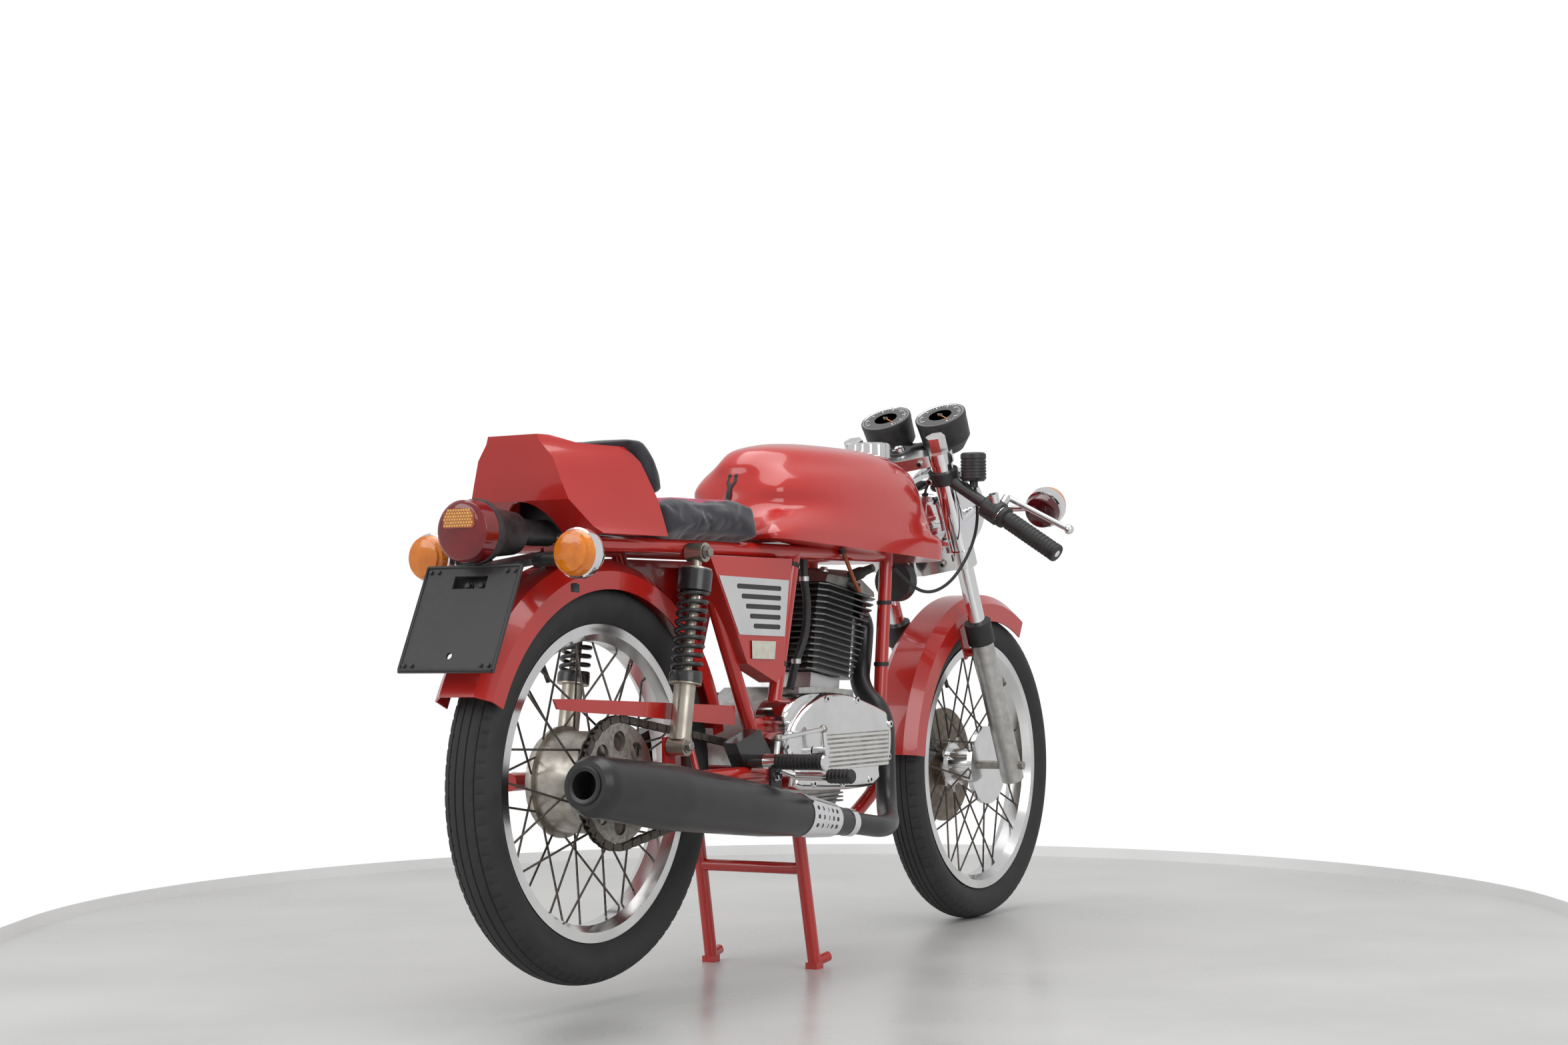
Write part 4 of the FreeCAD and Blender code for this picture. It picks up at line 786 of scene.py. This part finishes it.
def cushion(name, node, rings, cap, on_panel):
    """A pad: a closed form blown up a little as cloth, with soft folds, and a panel in its top."""
    made = Maker()
    made.lofted(rings)
    thing = from_mesh(name, made.points, made.faces)
    closed_up(thing.data)
    remesh = thing.modifiers.new("remesh", "REMESH")
    remesh.mode = "VOXEL"
    remesh.voxel_size = 0.005
    thing.modifiers.new("soften", "SMOOTH").iterations = 6
    applied(thing)
    blown_up(thing, cap)
    for vertex in thing.data.vertices:
        vertex.co += fold(vertex.co)
    thing.data.materials.clear()
    for suede in (SUEDE, SUEDE_RED):
        thing.data.materials.append(suede)
    for face in thing.data.polygons:
        face.material_index = 1 if on_panel(*in_mm(face.center), face.normal) else 0
    finer = thing.modifiers.new("finer", "SUBSURF")
    finer.levels = finer.render_levels = 1
    applied(thing)
    shade_smooth(thing.data)
    keep(thing, "chassis", "seat_suede", node)


def seat():
    """The seat pad with its red top panel, and the bolster on the cowl."""
    def rings(outline, ends):
        return [shrunk([at(x, y, z) for x, z in outline], draw) for y, draw in ends]

    pad = [(66, 716), (344, 716), (327, 765), (280, 772), (112, 770), (52, 761)]
    pad_ends = ((-112, 0.06), (-104, 0), (-60, 0), (60, 0), (104, 0), (112, 0.06))
    cushion("seat_cushion", "seat_pad", rings(pad, pad_ends), 0.006,
            lambda x, y, z, normal: normal.z > 0.55 and abs(y) < 94 and 75 < x < 318)
    bolster = [(44, 772), (70, 782), (62, 806), (44, 832), (16, 855), (-24, 858), (-16, 850), (4, 832),
               (24, 806), (36, 788)]
    bolster_ends = ((-104, 0.10), (-98, 0), (0, 0), (98, 0), (104, 0.10))
    cushion("bolster_cushion", "bolster_pad", rings(bolster, bolster_ends), 0.004,
            lambda x, y, z, normal: False)


def side_panels():
    """A slotted silver panel on each side cover, and a blank badge plate."""
    face_y, plate_y, plate_thickness, slot_radius = 112, 113.1, 1.5, 4
    corners = [Vector(p) for p in ((209, 655, 0), (424, 650, 0), (408, 557, 0), (268, 561, 0))]
    outlines = [[(p.x, p.y) for p in corners]]
    for index in range(5):
        share = 0.16 + 0.68 * index / 4
        left = corners[0].lerp(corners[3], share)
        right = corners[1].lerp(corners[2], share)
        start, end = left.lerp(right, 0.20 * (1 + share)), left.lerp(right, 0.87)
        outlines.append([(middle.x + reach * math.sin(math.pi * k / 8),
                          middle.y + reach * math.cos(math.pi * k / 8))
                         for middle, reach in ((end, slot_radius), (start, -slot_radius)) for k in range(9)])
    plate = cut_plate(outlines, plate_thickness)
    made = Maker(PANEL, PLASTIC, BADGE)
    for side in SIDES:
        made.prism([at(p.x, side * face_y, p.y) for p in shrunk(corners, 0.04)], to_left * side * 0.0003, 1)
        first = len(made.points)
        made.points += [at(v.co.x / MM, side * (plate_y + v.co.z / MM), v.co.y / MM) for v in plate.vertices]
        made.faces += [tuple(first + i for i in face.vertices) for face in plate.polygons]
        made.looks += [0] * len(plate.polygons)
    badge = [(304, 551), (379, 549), (374, 520), (305, 522)]
    made.prism([at(x, -face_y, z) for x, z in badge], to_left * -0.0025, 2, 1)
    made.finish("side_cover_panels", "chassis", "polished_alloy")


# Lamps

def reflector(lamp, tip):
    """The honeycomb reflector plate in the upper half of the tail lamp."""
    back, plate, cell_radius = -to_front, 2.2, 2.2
    outline = [(-25, 4), (25, 4), (29, 8), (27, 25), (20, 31), (0, 33), (-20, 31), (-27, 25), (-29, 8)]
    lamp.prism([tip + (to_left * y + to_top * z) * MM for y, z in outline], back * plate * MM, 2)
    for row in range(6):
        for column in range(12):
            y = -26 + 4.7 * column + (2.35 if row % 2 else 0)
            middle = tip + (back * plate + to_left * y + to_top * (7.5 + 4.4 * row)) * MM
            if abs(y) < 26 - max(0, row - 3) * 3:
                cell = [middle + turned_to(to_top, to_left, math.pi * k / 3) * cell_radius * MM
                        for k in range(6)]
                lamp.lofted([cell, [p + back * 0.0004 for p in shrunk(cell, 0.25)]], 3)


def rear_lamps():
    """The tail lamp with its reflector plate, and the rear indicators."""
    lamp = Maker(LENS_RED, PLASTIC, CELL_BACK, CELL)
    radius, reach, neck, neck_radius = 46.0, 66.0, 54, 32
    tip = at(-301, 0, 713)
    lens = ((0, 0), (0, .80), (.03, .90), (.09, .97), (.5, 1))
    body = ((.5, 1), (.52, 1.04), (.66, 1.04), (.8, .96), (1, .8))
    lamp.turned([(reach * s, radius * r) for s, r in lens], tip, to_front, 0, 64)
    lamp.turned([(reach * s, radius * r) for s, r in body] + [(reach + neck, neck_radius), (reach + neck, 0)],
                tip, to_front, 1, 64)
    reflector(lamp, tip)
    lamp.finish("round_tail_lamp", "chassis", "lamp_red", "tail_lamp")
    pair = Maker(LENS_AMBER, CHROME, PLASTIC)
    for side in SIDES:
        place = at(-222, side * 134, 680)
        pair.turned([(0, 0), (0, 20), (2, 27), (6, 27.5), (8, 32), (11, 33.5), (20, 34.5)],
                    place, to_front, 0, 48)
        pair.turned([(19, 34.5), (20, 37), (32, 37), (36, 35.5), (44, 33), (54, 26), (62, 14), (62, 0)],
                    place, to_front, 1, 48)
        for start, end, thick, look, steps in ((97, 52, 9, 2, 24), (128, 50, 6, 1, 20), (56, 44, 11, 2, 24)):
            pair.rod(at(-178, side * start, 672), at(-178, side * end, 672), thick, look, steps)
    coil = [at(-184 + 5 * math.cos(t * 0.8), -118 + 5 * math.sin(t * 0.8), 636 - t * 0.28) for t in range(40)]
    pair.tube(coil, 1.8, 2, 8)
    pair.finish("rear_indicator_pair", "chassis", "lamp_amber", "rear_indicators")


def front_lamps():
    """The headlamp's rim and ribbed glass, and the front indicators."""
    along, ahead = 505, 92
    rim = Maker(CHROME, CLEAR)
    centre = on_fork(along, 0, ahead)
    rim.turned([(40, 76.3), (44, 80), (56, 80), (62, 77), (62.8, 71), (60, 70)], centre, ahead_of_fork, 0, 72)
    rim.turned([(60.5, 71), (62.2, 55), (63.0, 30), (63.3, 0)], centre, ahead_of_fork, 1, 72)
    rim.finish("headlamp_rim_and_glass", "steering", "chrome")
    pair = Maker(LENS_AMBER, CHROME, LENS_DARK)
    profiles = (((-30, 0), (-30, 26), (-28, 30), (-24, 31), (-10, 33)),
                ((-11, 33), (-10, 36.5), (10, 37), (14, 35)),
                ((13, 34.5), (20, 33.5), (26, 31), (28, 26), (34, 24), (36, 18), (36, 0)))
    for side in SIDES:
        for profile, look in zip(profiles, (2, 1, 0)):
            pair.turned(profile, on_fork(along, side * 236, ahead), ahead_of_fork, look, 48)
        pair.rod(on_fork(along, side * 88, ahead), on_fork(along, side * 202, ahead), 6.0, 1, 24)
    pair.finish("front_indicator_pair", "steering", "lamp_amber", "front_indicators")


# Engine

def cover_point(x, z, y):
    """A place on an engine cover, as shares of its length and height."""
    return at(371.2 + 353.9 * x, y, 297.0 + 165.0 * z)


def engine_covers():
    """Domed engine covers with a crescent, ribs on a darker bed, and bolts round the rim."""
    outline = ((0.03, .65), (.14, .84), (.26, .945), (.38, 1), (.58, .97), (.77, .88), (.94, .78), (.96, .70),
               (1, .55), (.97, .23), (.86, .21), (.80, 0), (.09, .05), (.05, .19), (0, .41), (0, .61))
    crescent = ((.02, .78), (.07, .905), (.15, .975), (.25, 1.0), (.36, 1.0), (.46, 1.0), (.50, .96),
                (.38, .90), (.26, .86), (.14, .80), (.06, .70))
    dome = ((72.5, 0), (129, 0), (137, .012), (142, .04), (145.3, .085), (146.4, .14))
    crescent_dome = ((72.5, 0), (121, 0), (127, .03), (130, .09))
    rib_shape = ((.28, -.013), (.91, -.013), (.916, 0), (.91, .013), (.28, .013), (.274, 0))
    bolts = ((.05, .60), (.20, .10), (.47, .07), (.74, .08), (.93, .30), (.95, .64), (.62, .91), (.33, .94))
    covers = Maker(POLISHED, PLASTIC, HUB)
    for side in SIDES:
        bed = [cover_point(x, z, side * 145) for x, z in ((.27, .215), (.92, .215), (.93, .58), (.27, .58))]
        covers.prism(bed, to_left * side * 0.0021, 2)
        for shape, steps in ((outline, dome), (crescent, crescent_dome)):
            ring = curved([Vector((x, z, 0)) for x, z in shape], 3)
            covers.lofted([[cover_point(p.x, p.y, side * y) for p in shrunk(ring, draw)]
                           for y, draw in steps])
        for index in range(8):
            z = 0.235 + 0.32 * index / 7
            rib = [cover_point(x, z + rise, side * 146.5) for x, rise in rib_shape]
            covers.lofted([rib, [p + to_left * side * 0.0034 for p in shrunk(rib, 0.012)]])
        for x, z in bolts:
            covers.socket_bolt(cover_point(x, z, side * 144.5), to_left * side, 6.0, 4.0, 0, 1)
    covers.finish("engine_cover_pair", "chassis", "polished_alloy", "engine_covers", angle=35)


def cylinder():
    """The leaning cylinder: flange, barrel, fins with cut corners, faceted head, nuts and plug cap."""
    up, fore = Vector((.1564, 0, .9877)), Vector((.9877, 0, -.1564))
    base = at(645.6, 0, 462)

    def barrel(x, y, z):
        return base + (fore * x + to_left * y + up * z) * MM

    def box(rear, front, half, low, high, look):
        corners = ((rear, -half), (front, -half), (front, half), (rear, half))
        block.prism([barrel(x, y, low) for x, y in corners], up * (high - low) * MM, look)

    block = Maker(BLACK, HEAD, SATIN, PLASTIC, FIN_EDGE_HIGHLIGHT)
    box(-50, 50, 50, -8, 26, 2)
    block.band(20, 192, 0, 47.5, base, up, 0, 40)
    box(-58, 70, 57, 28, 188, 0)
    fins, first, pitch, rear, corner = 15, 28.2, 10.54, -78, 13.0
    for index in range(fins):
        front, half = 72 + 42 * index / fins, 69.7 + 15.3 * index / fins
        outline = [(rear + corner, -half), (front - corner, -half), (front, -half + corner),
                   (front, half - corner), (front - corner, half), (rear + corner, half),
                   (rear, half - corner), (rear, -half + corner)]
        rim = [barrel(x, y, first + pitch * index) for x, y in outline]
        block.prism(rim, up * 0.0026)
        edge = shrunk(rim, -0.004)
        # A band of the lighter fin-edge grey round each fin: a painted highlight on the fin edges
        block.rows([[p + up * 0.0003 for p in edge], [p + up * 0.0023 for p in edge]], 4)
    shape = ((-.73, 0), (-.66, .52), (-.58, .62), (.78, 1), (1.30, .40), (1.34, .05))
    flat = [(85 * x, 42 * z) for x, z in shape]
    block.lofted([[barrel(x, y, 183 + z * draw) for x, z in flat]
                  for y, draw in ((-74, .55), (-40.7, 1.0), (40.7, 1.0), (74, .55))], 1)
    for x in (-44, 20, 62):
        for side in SIDES:
            block.bolt(barrel(x, side * 58, 202), up, 7.0, 9.0, 2)
    block.turned([(0, 0), (0, 11), (22, 11), (30, 8), (48, 7), (50, 0)], barrel(30, -70, 206),
                 up * 0.35 - to_left, 3, 24)
    block.finish("finned_cylinder", "chassis", "black_paint", "cylinder", angle=25)


def sump():
    """The sump under the crankcase, with three fins."""
    half, fin_half, fin = 74, 86, 0.003
    outline = ((.31, .02), (.335, -.10), (.45, -.19), (.75, -.19), (.79, -.05), (.79, .02))
    made = Maker(CAST)
    made.lofted([[cover_point(x, z, y) for x, z in outline] for y in (-half, half)])
    for z in (-.155, -.115, -.075):
        ring = [cover_point(x, z, y) for x, y in ((.36, -fin_half), (.77, -fin_half), (.77, fin_half),
                                                  (.36, fin_half))]
        made.prism(ring, to_top * fin)
    made.finish("finned_sump", "chassis", "cast_alloy")


def exhaust_trim():
    """The silencer's outlet, its band and bracket, the shield's holes, and the pipe's collar."""
    tail, head = at(-278, -200, 353), at(470, -200, 249)
    length, silencer_radius, bracket_y = 0.7551, 49, -170
    run = (head - tail).normalized()
    made = Maker(CHROME, SATIN_BLACK, PLASTIC)
    made.turned([(0.5, 20), (0.5, 27), (-2, 27.5), (-3, 25), (-2, 20), (36, 20)], tail, run, 1, 48)
    made.band(730, 748, 20.5, 23, tail, run, 0, 40)
    bracket = [at(x, bracket_y, z) for x, z in ((268, 300), (300, 300), (300, 350), (268, 350))]
    made.prism(bracket, to_left * 0.005, 1)
    made.bolt(at(284, bracket_y, 335), -to_left, 7.0, 8.0)
    rise = run.cross(to_left)
    for row in range(3):
        out = turned_to(-to_left, rise, math.radians(-24 + row * 24))
        for column in range(5):
            share = .785 + .022 * column
            radius = silencer_radius * (.678 + (.54 - .678) * (share - .765) / .135) + 2.0
            made.band(0, 0.5, 0, 3.6, tail + run * length * share + out * radius * MM, out, 2, 12)
    made.band(-7, 5, 18, 30, at(775.6, -30, 600), Vector((.98, 0, -.16)), 0, 40)
    made.finish("silencer_fittings", "chassis", "chrome")


def plumbing():
    """The plug lead, the breather hose with its clamps, and the ties round the frame tubes."""
    lead = Maker(LEAD, PLASTIC)
    route = ((636, -96, 706), (650, -97, 684), (672, -97, 655), (697, -93, 636), (712, -84, 640))
    lead.tube(curved([at(*p) for p in route], 8, closed=False), 3.6, 0, 12)
    lead.rod(at(706, -88, 640), at(690, -62, 652), 8.5, 1, 20)
    lead.rod(at(636, -96, 700), at(632, -96, 713), 6.0, 1, 16)
    lead.finish("plug_lead", "chassis", "black_rubber_hose")
    hose = Maker(RUBBER, SATIN)
    route = ((538, -75, 688), (537, -76, 655), (545, -76, 610), (540, -74, 560), (524, -66, 515),
             (520, -55, 468))
    hose.tube(curved([at(*p) for p in route], 8, closed=False), 7.0, 0, 16)
    for place in (route[1], route[4]):
        hose.band(-4, 4, 7.2, 8.2, at(*place), to_top, 1, 24)
    hose.finish("breather_hose", "chassis", "black_rubber_hose")
    ties = Maker(RUBBER)
    post = (at(499.2, 0, 700) - at(380.3, 0, 350)).normalized()
    for x, y, z, run in ((491, -79, 677, post), (435, -85.5, 512, post), (815.5, -78, 616, to_top),
                         (802, -78, 506, to_top)):
        ties.band(-3.5, 3.5, 12, 13.6, at(x, y, z), run)
    ties.finish("cable_ties", "chassis", "soft_rubber")


# Steering

def control_cable():
    """The control cable, with the points of its CAD route as its control points."""
    route = ((1058, -140, 846), (1072, -142, 800), (1064, -140, 742), (1030, -132, 690), (985, -122, 650),
             (925, -112, 632), (872, -102, 646), (830.5, -91.3, 680))
    curve = bpy.data.curves.new("control_cable", "CURVE")
    curve.dimensions = "3D"
    curve.bevel_depth = 3.0 * MM
    curve.bevel_resolution = 5
    curve.use_fill_caps = True
    spline = curve.splines.new("NURBS")
    spline.points.add(len(route) - 1)
    for point, place in zip(spline.points, route):
        point.co = (*at(*place), 1)
    spline.order_u = 3
    spline.use_endpoint_u = True
    spline.resolution_u = 10
    thing = bpy.data.objects.new("control_cable", curve)
    curve.materials.append(RUBBER)
    bpy.context.scene.collection.objects.link(thing)
    keep(thing, "steering", "black_rubber_hose", "control_cables")


def fork_top():
    """Fork caps, yoke bolts and the ignition switch."""
    made = Maker(STEEL, PLASTIC, POLISHED)
    cap = [(-30, 0), (-30, 19), (2, 19), (4, 17), (4, 0)]
    for side in SIDES:
        made.turned(cap, on_fork(692, side * 88, 0), up_fork, 2, 6)
        for along, across, ahead in ((653, 62, -30), (448, 62, -30), (614, 70, -22)):
            made.socket_bolt(on_fork(along, side * across, ahead), -ahead_of_fork, 6.5, 9.0, 0, 1)
    switch = on_fork(664, 0, 9)
    made.band(0, 3, 0, 24, switch, up_fork, 1, 36)
    made.turned([(3, 0), (3, 13), (9, 12), (9, 9), (7, 8), (7, 0)], switch, up_fork, 2, 36)
    made.finish("fork_caps_and_bolts", "steering", "polished_alloy")


def brake_fluid_bottle():
    """The ribbed brake fluid bottle on the right."""
    foot = on_fork(600, -146, 2)
    outer, inner = 24, 22.6
    profile = [(0, 0), (0, 20), (3, 22)]
    for low in range(5, 41, 6):
        profile += [(low, outer), (low + 3, outer), (low + 3.6, inner), (low + 5.4, inner)]
    profile += [(42, outer), (50, outer), (53, 21), (53, 0)]
    made = Maker(PLASTIC)
    made.turned(profile, foot, to_top, 0, 40)
    made.rod(foot - to_top * 0.012, foot, 8.0)
    made.finish("brake_fluid_bottle", "steering", "black_plastic")


def grip_parts():
    """The grips' flanges, ribs and end screws, and the switch housings beside them."""
    made = Maker(RUBBER, CHROME, PLASTIC)
    for side in SIDES:
        end = on_fork(482, side * 320, -75)
        out = (end - on_fork(614, side * 88, 0)).normalized()
        made.turned([(-131, 16.2), (-131, 20.5), (-127, 21), (-122, 20.5), (-119, 16.2)], end, out, 0, 36)
        made.ribs(14, -112, 8, 5, 15.9, 17.0, end, out, 0, 36)
        made.turned([(-2, 15.9), (-2, 17.2), (2, 17.0), (4.2, 14), (4.2, 0)], end, out, 0, 36)
        made.turned([(4, 0), (4, 7), (5, 6), (5, 0)], end, out, 1, 24)
        made.turned([(-172, 12), (-172, 20), (-168, 23), (-136, 23), (-133, 20), (-133, 12)], end, out, 2, 32)
    made.finish("grip_rings", "steering", "soft_rubber")


def gauges():
    """The two instruments' bezels, dark glass, dial marks and needles."""
    look = Vector((-.515, 0, .857)).normalized()
    up_dial = look.cross(to_left)
    made = Maker(PLASTIC, GLASS, DIAL_WHITE, LENS_AMBER, CHROME)

    def stroke(face, degrees, inner, outer, half, tip_half, height, paint):
        """A flat mark on the dial, from one radius to another."""
        turn = math.radians(degrees)
        way = to_left * math.sin(turn) - up_dial * math.cos(turn)
        across = (to_left * math.cos(turn) + up_dial * math.sin(turn)) * MM
        a, b = (face + look * 0.0005 + way * radius * MM for radius in (inner, outer))
        made.prism([a - across * half, b - across * tip_half, b + across * tip_half, a + across * half],
                   look * height, paint)

    for side in SIDES:
        face = at(1082, side * 59, 975)
        made.turned([(-8, 49.05), (-2, 49.3), (0.6, 48.6), (1, 46.2)], face, look, 0, 64)
        made.turned([(1, 46.2), (0.8, 45.2), (0.4, 44.5)], face, look, 4, 64)
        made.turned([(0.3, 0), (0.3, 45.0), (-1, 45.0)], face, look, 1, 64)
        for mark in range(33):
            inner, half = (37.0, 0.5) if mark % 4 else (33.0, 0.9)
            stroke(face, -135 + 270 * mark / 32, inner, 41, half, half, 0.0002, 2)
        stroke(face, -128, -9, 35, 1.3, 0.52, 0.0006, 3)
        made.turned([(0.3, 0), (0.3, 5), (2.0, 4.5), (2.0, 0)], face, look, 0, 24)
    made.finish("gauge_faces", "steering", "chrome")


# Small parts

def foot_parts():
    """The gear linkage, the pedals' rubbers and the footrests' ends."""
    link_y, peg_x, peg_z = -168, 284.7, 358
    made = Maker(POLISHED, RUBBER, STEEL)
    link = [at(x, link_y, z) for x, z in ((peg_x, peg_z), (292.7, 394), (436.7, 404), (442.7, 368))]
    for start, end, radius in zip(link, link[1:], (5.0, 4.0, 5.0)):
        made.rod(start, end, radius)
    made.rod(at(442.7, -172, 368), at(442.7, -148, 368), 8.0)
    made.rod(at(peg_x, -172, peg_z), at(peg_x, -150, peg_z), 12.5)
    for place in link[1:3]:
        made.ball(place, 7.0, 2)
    for side in SIDES:
        out, pedal = to_left * side, at(375, side * 214, 331)
        made.turned([(0, 8), (0, 11), (43, 11), (45, 9), (45, 0)], pedal, out, 1)
        made.ribs(6, 3, 7, 4, 11, 12, pedal, out, 1)
        made.ribs(12, 2, 7, 5, 11, 12.6, at(peg_x, side * 170, peg_z), out, 1)
        made.turned([(0, 0), (0, 12), (3, 11), (3, 0)], at(peg_x, side * 258, peg_z), out)
    made.finish("foot_linkage_and_rubbers", "chassis", "soft_rubber")


def plate_holder_trim():
    """The plate holder's lip and screws, and the bracket behind its window."""
    made = Maker(PLASTIC)
    lean, height = math.radians(25.06), 168
    down, out = turned_to(-to_top, -to_front, lean), turned_to(-to_front, to_top, lean)
    top = at(-266, 0, 664)

    def on_plate(y, share, away):
        return top + (down * height * share + to_left * y + out * away) * MM

    corners = [on_plate(y, share, 0.4) for y, share in ((-84, .01), (84, .01), (84, .98), (-84, .98))]
    for start, end in zip(corners, corners[1:] + corners[:1]):
        made.rod(start, end, 2.3, 0, 10)
    screw = [(0, 0), (0, 3.4), (1.2, 3.0), (1.2, 1.4), (.6, 0)]
    for y in (-76, -62, 62, 76):
        for share in (.06, .94):
            made.turned(screw, on_plate(y, share, 2), out, 0, 16)
    bracket = [on_plate(y, share, -16) for y, share in ((-44, .04), (44, .04), (44, .30), (-44, .30))]
    made.prism(bracket, out * -0.002)
    for y in (-12, 12):
        made.bolt(on_plate(y, .16, -15), out, 5.0, 6.0)
    made.finish("plate_holder_trim", "chassis", "black_plastic")


def damper_trim():
    """The dampers' upper cups, lower collars and bolts."""
    made = Maker(BLACK, STEEL)
    for side in SIDES:
        foot, head = at(100.1, side * 107, 390), at(157.3, side * 107, 690)
        run = (head - foot).normalized()
        made.turned([(-64, 22), (-62, 27), (-30, 27), (-26, 24), (-24, 12)], head, run, 0, 40)
        made.turned([(98, 18), (98, 26), (112, 26), (116, 24), (116, 18)], foot, run, 0, 40)
        for place, reach in ((head, 17), (foot, 15)):
            made.bolt(place + to_left * side * reach * MM, to_left * side, 8.0, 9.0, 1)
    made.finish("damper_trim", "chassis", "spring_black")


def second_finishes():
    """Parts of CAD nodes that carry another finish: spokes and fork shrouds."""
    for name, axle, edge in (("rear_hub", rear_axle, 90.0), ("front_hub", front_axle, 76.0)):
        repaint(name, SPOKE, lambda centre: math.hypot(centre.x - axle.x, centre.z - axle.z) > edge * MM)

    def on_shroud(centre):
        along, side, ahead = fork_place(centre)
        return 468 < along < 640 and math.hypot(abs(side) - 88, ahead) < 22

    repaint("fork_yokes", SATIN, on_shroud)


camera()
studio()
tyre("rear_tyre_treaded", "rear_tyre", "rear_wheel", rear_axle, 306.0, 84.0, (-0.62, -0.22, 0.22, 0.62))
tyre("front_tyre_treaded", "front_tyre", "front_wheel", front_axle, 300.0, 76.0, (-0.5, -0.18, 0.18, 0.5))
second_finishes()
fuel_tank()
tail_cowl()
seat()
side_panels()
rear_lamps()
engine_covers()
cylinder()
sump()
chain()
control_cable()
fork_top()
brake_fluid_bottle()
grip_parts()
gauges()
front_lamps()
foot_parts()
exhaust_trim()
plumbing()
filler_cap()
wheel_bolts("rear_wheel", rear_axle, 34.0, -1, -65.0)
wheel_bolts("front_wheel", front_axle, 30.0, 1, 55.0)
plate_holder_trim()
damper_trim()
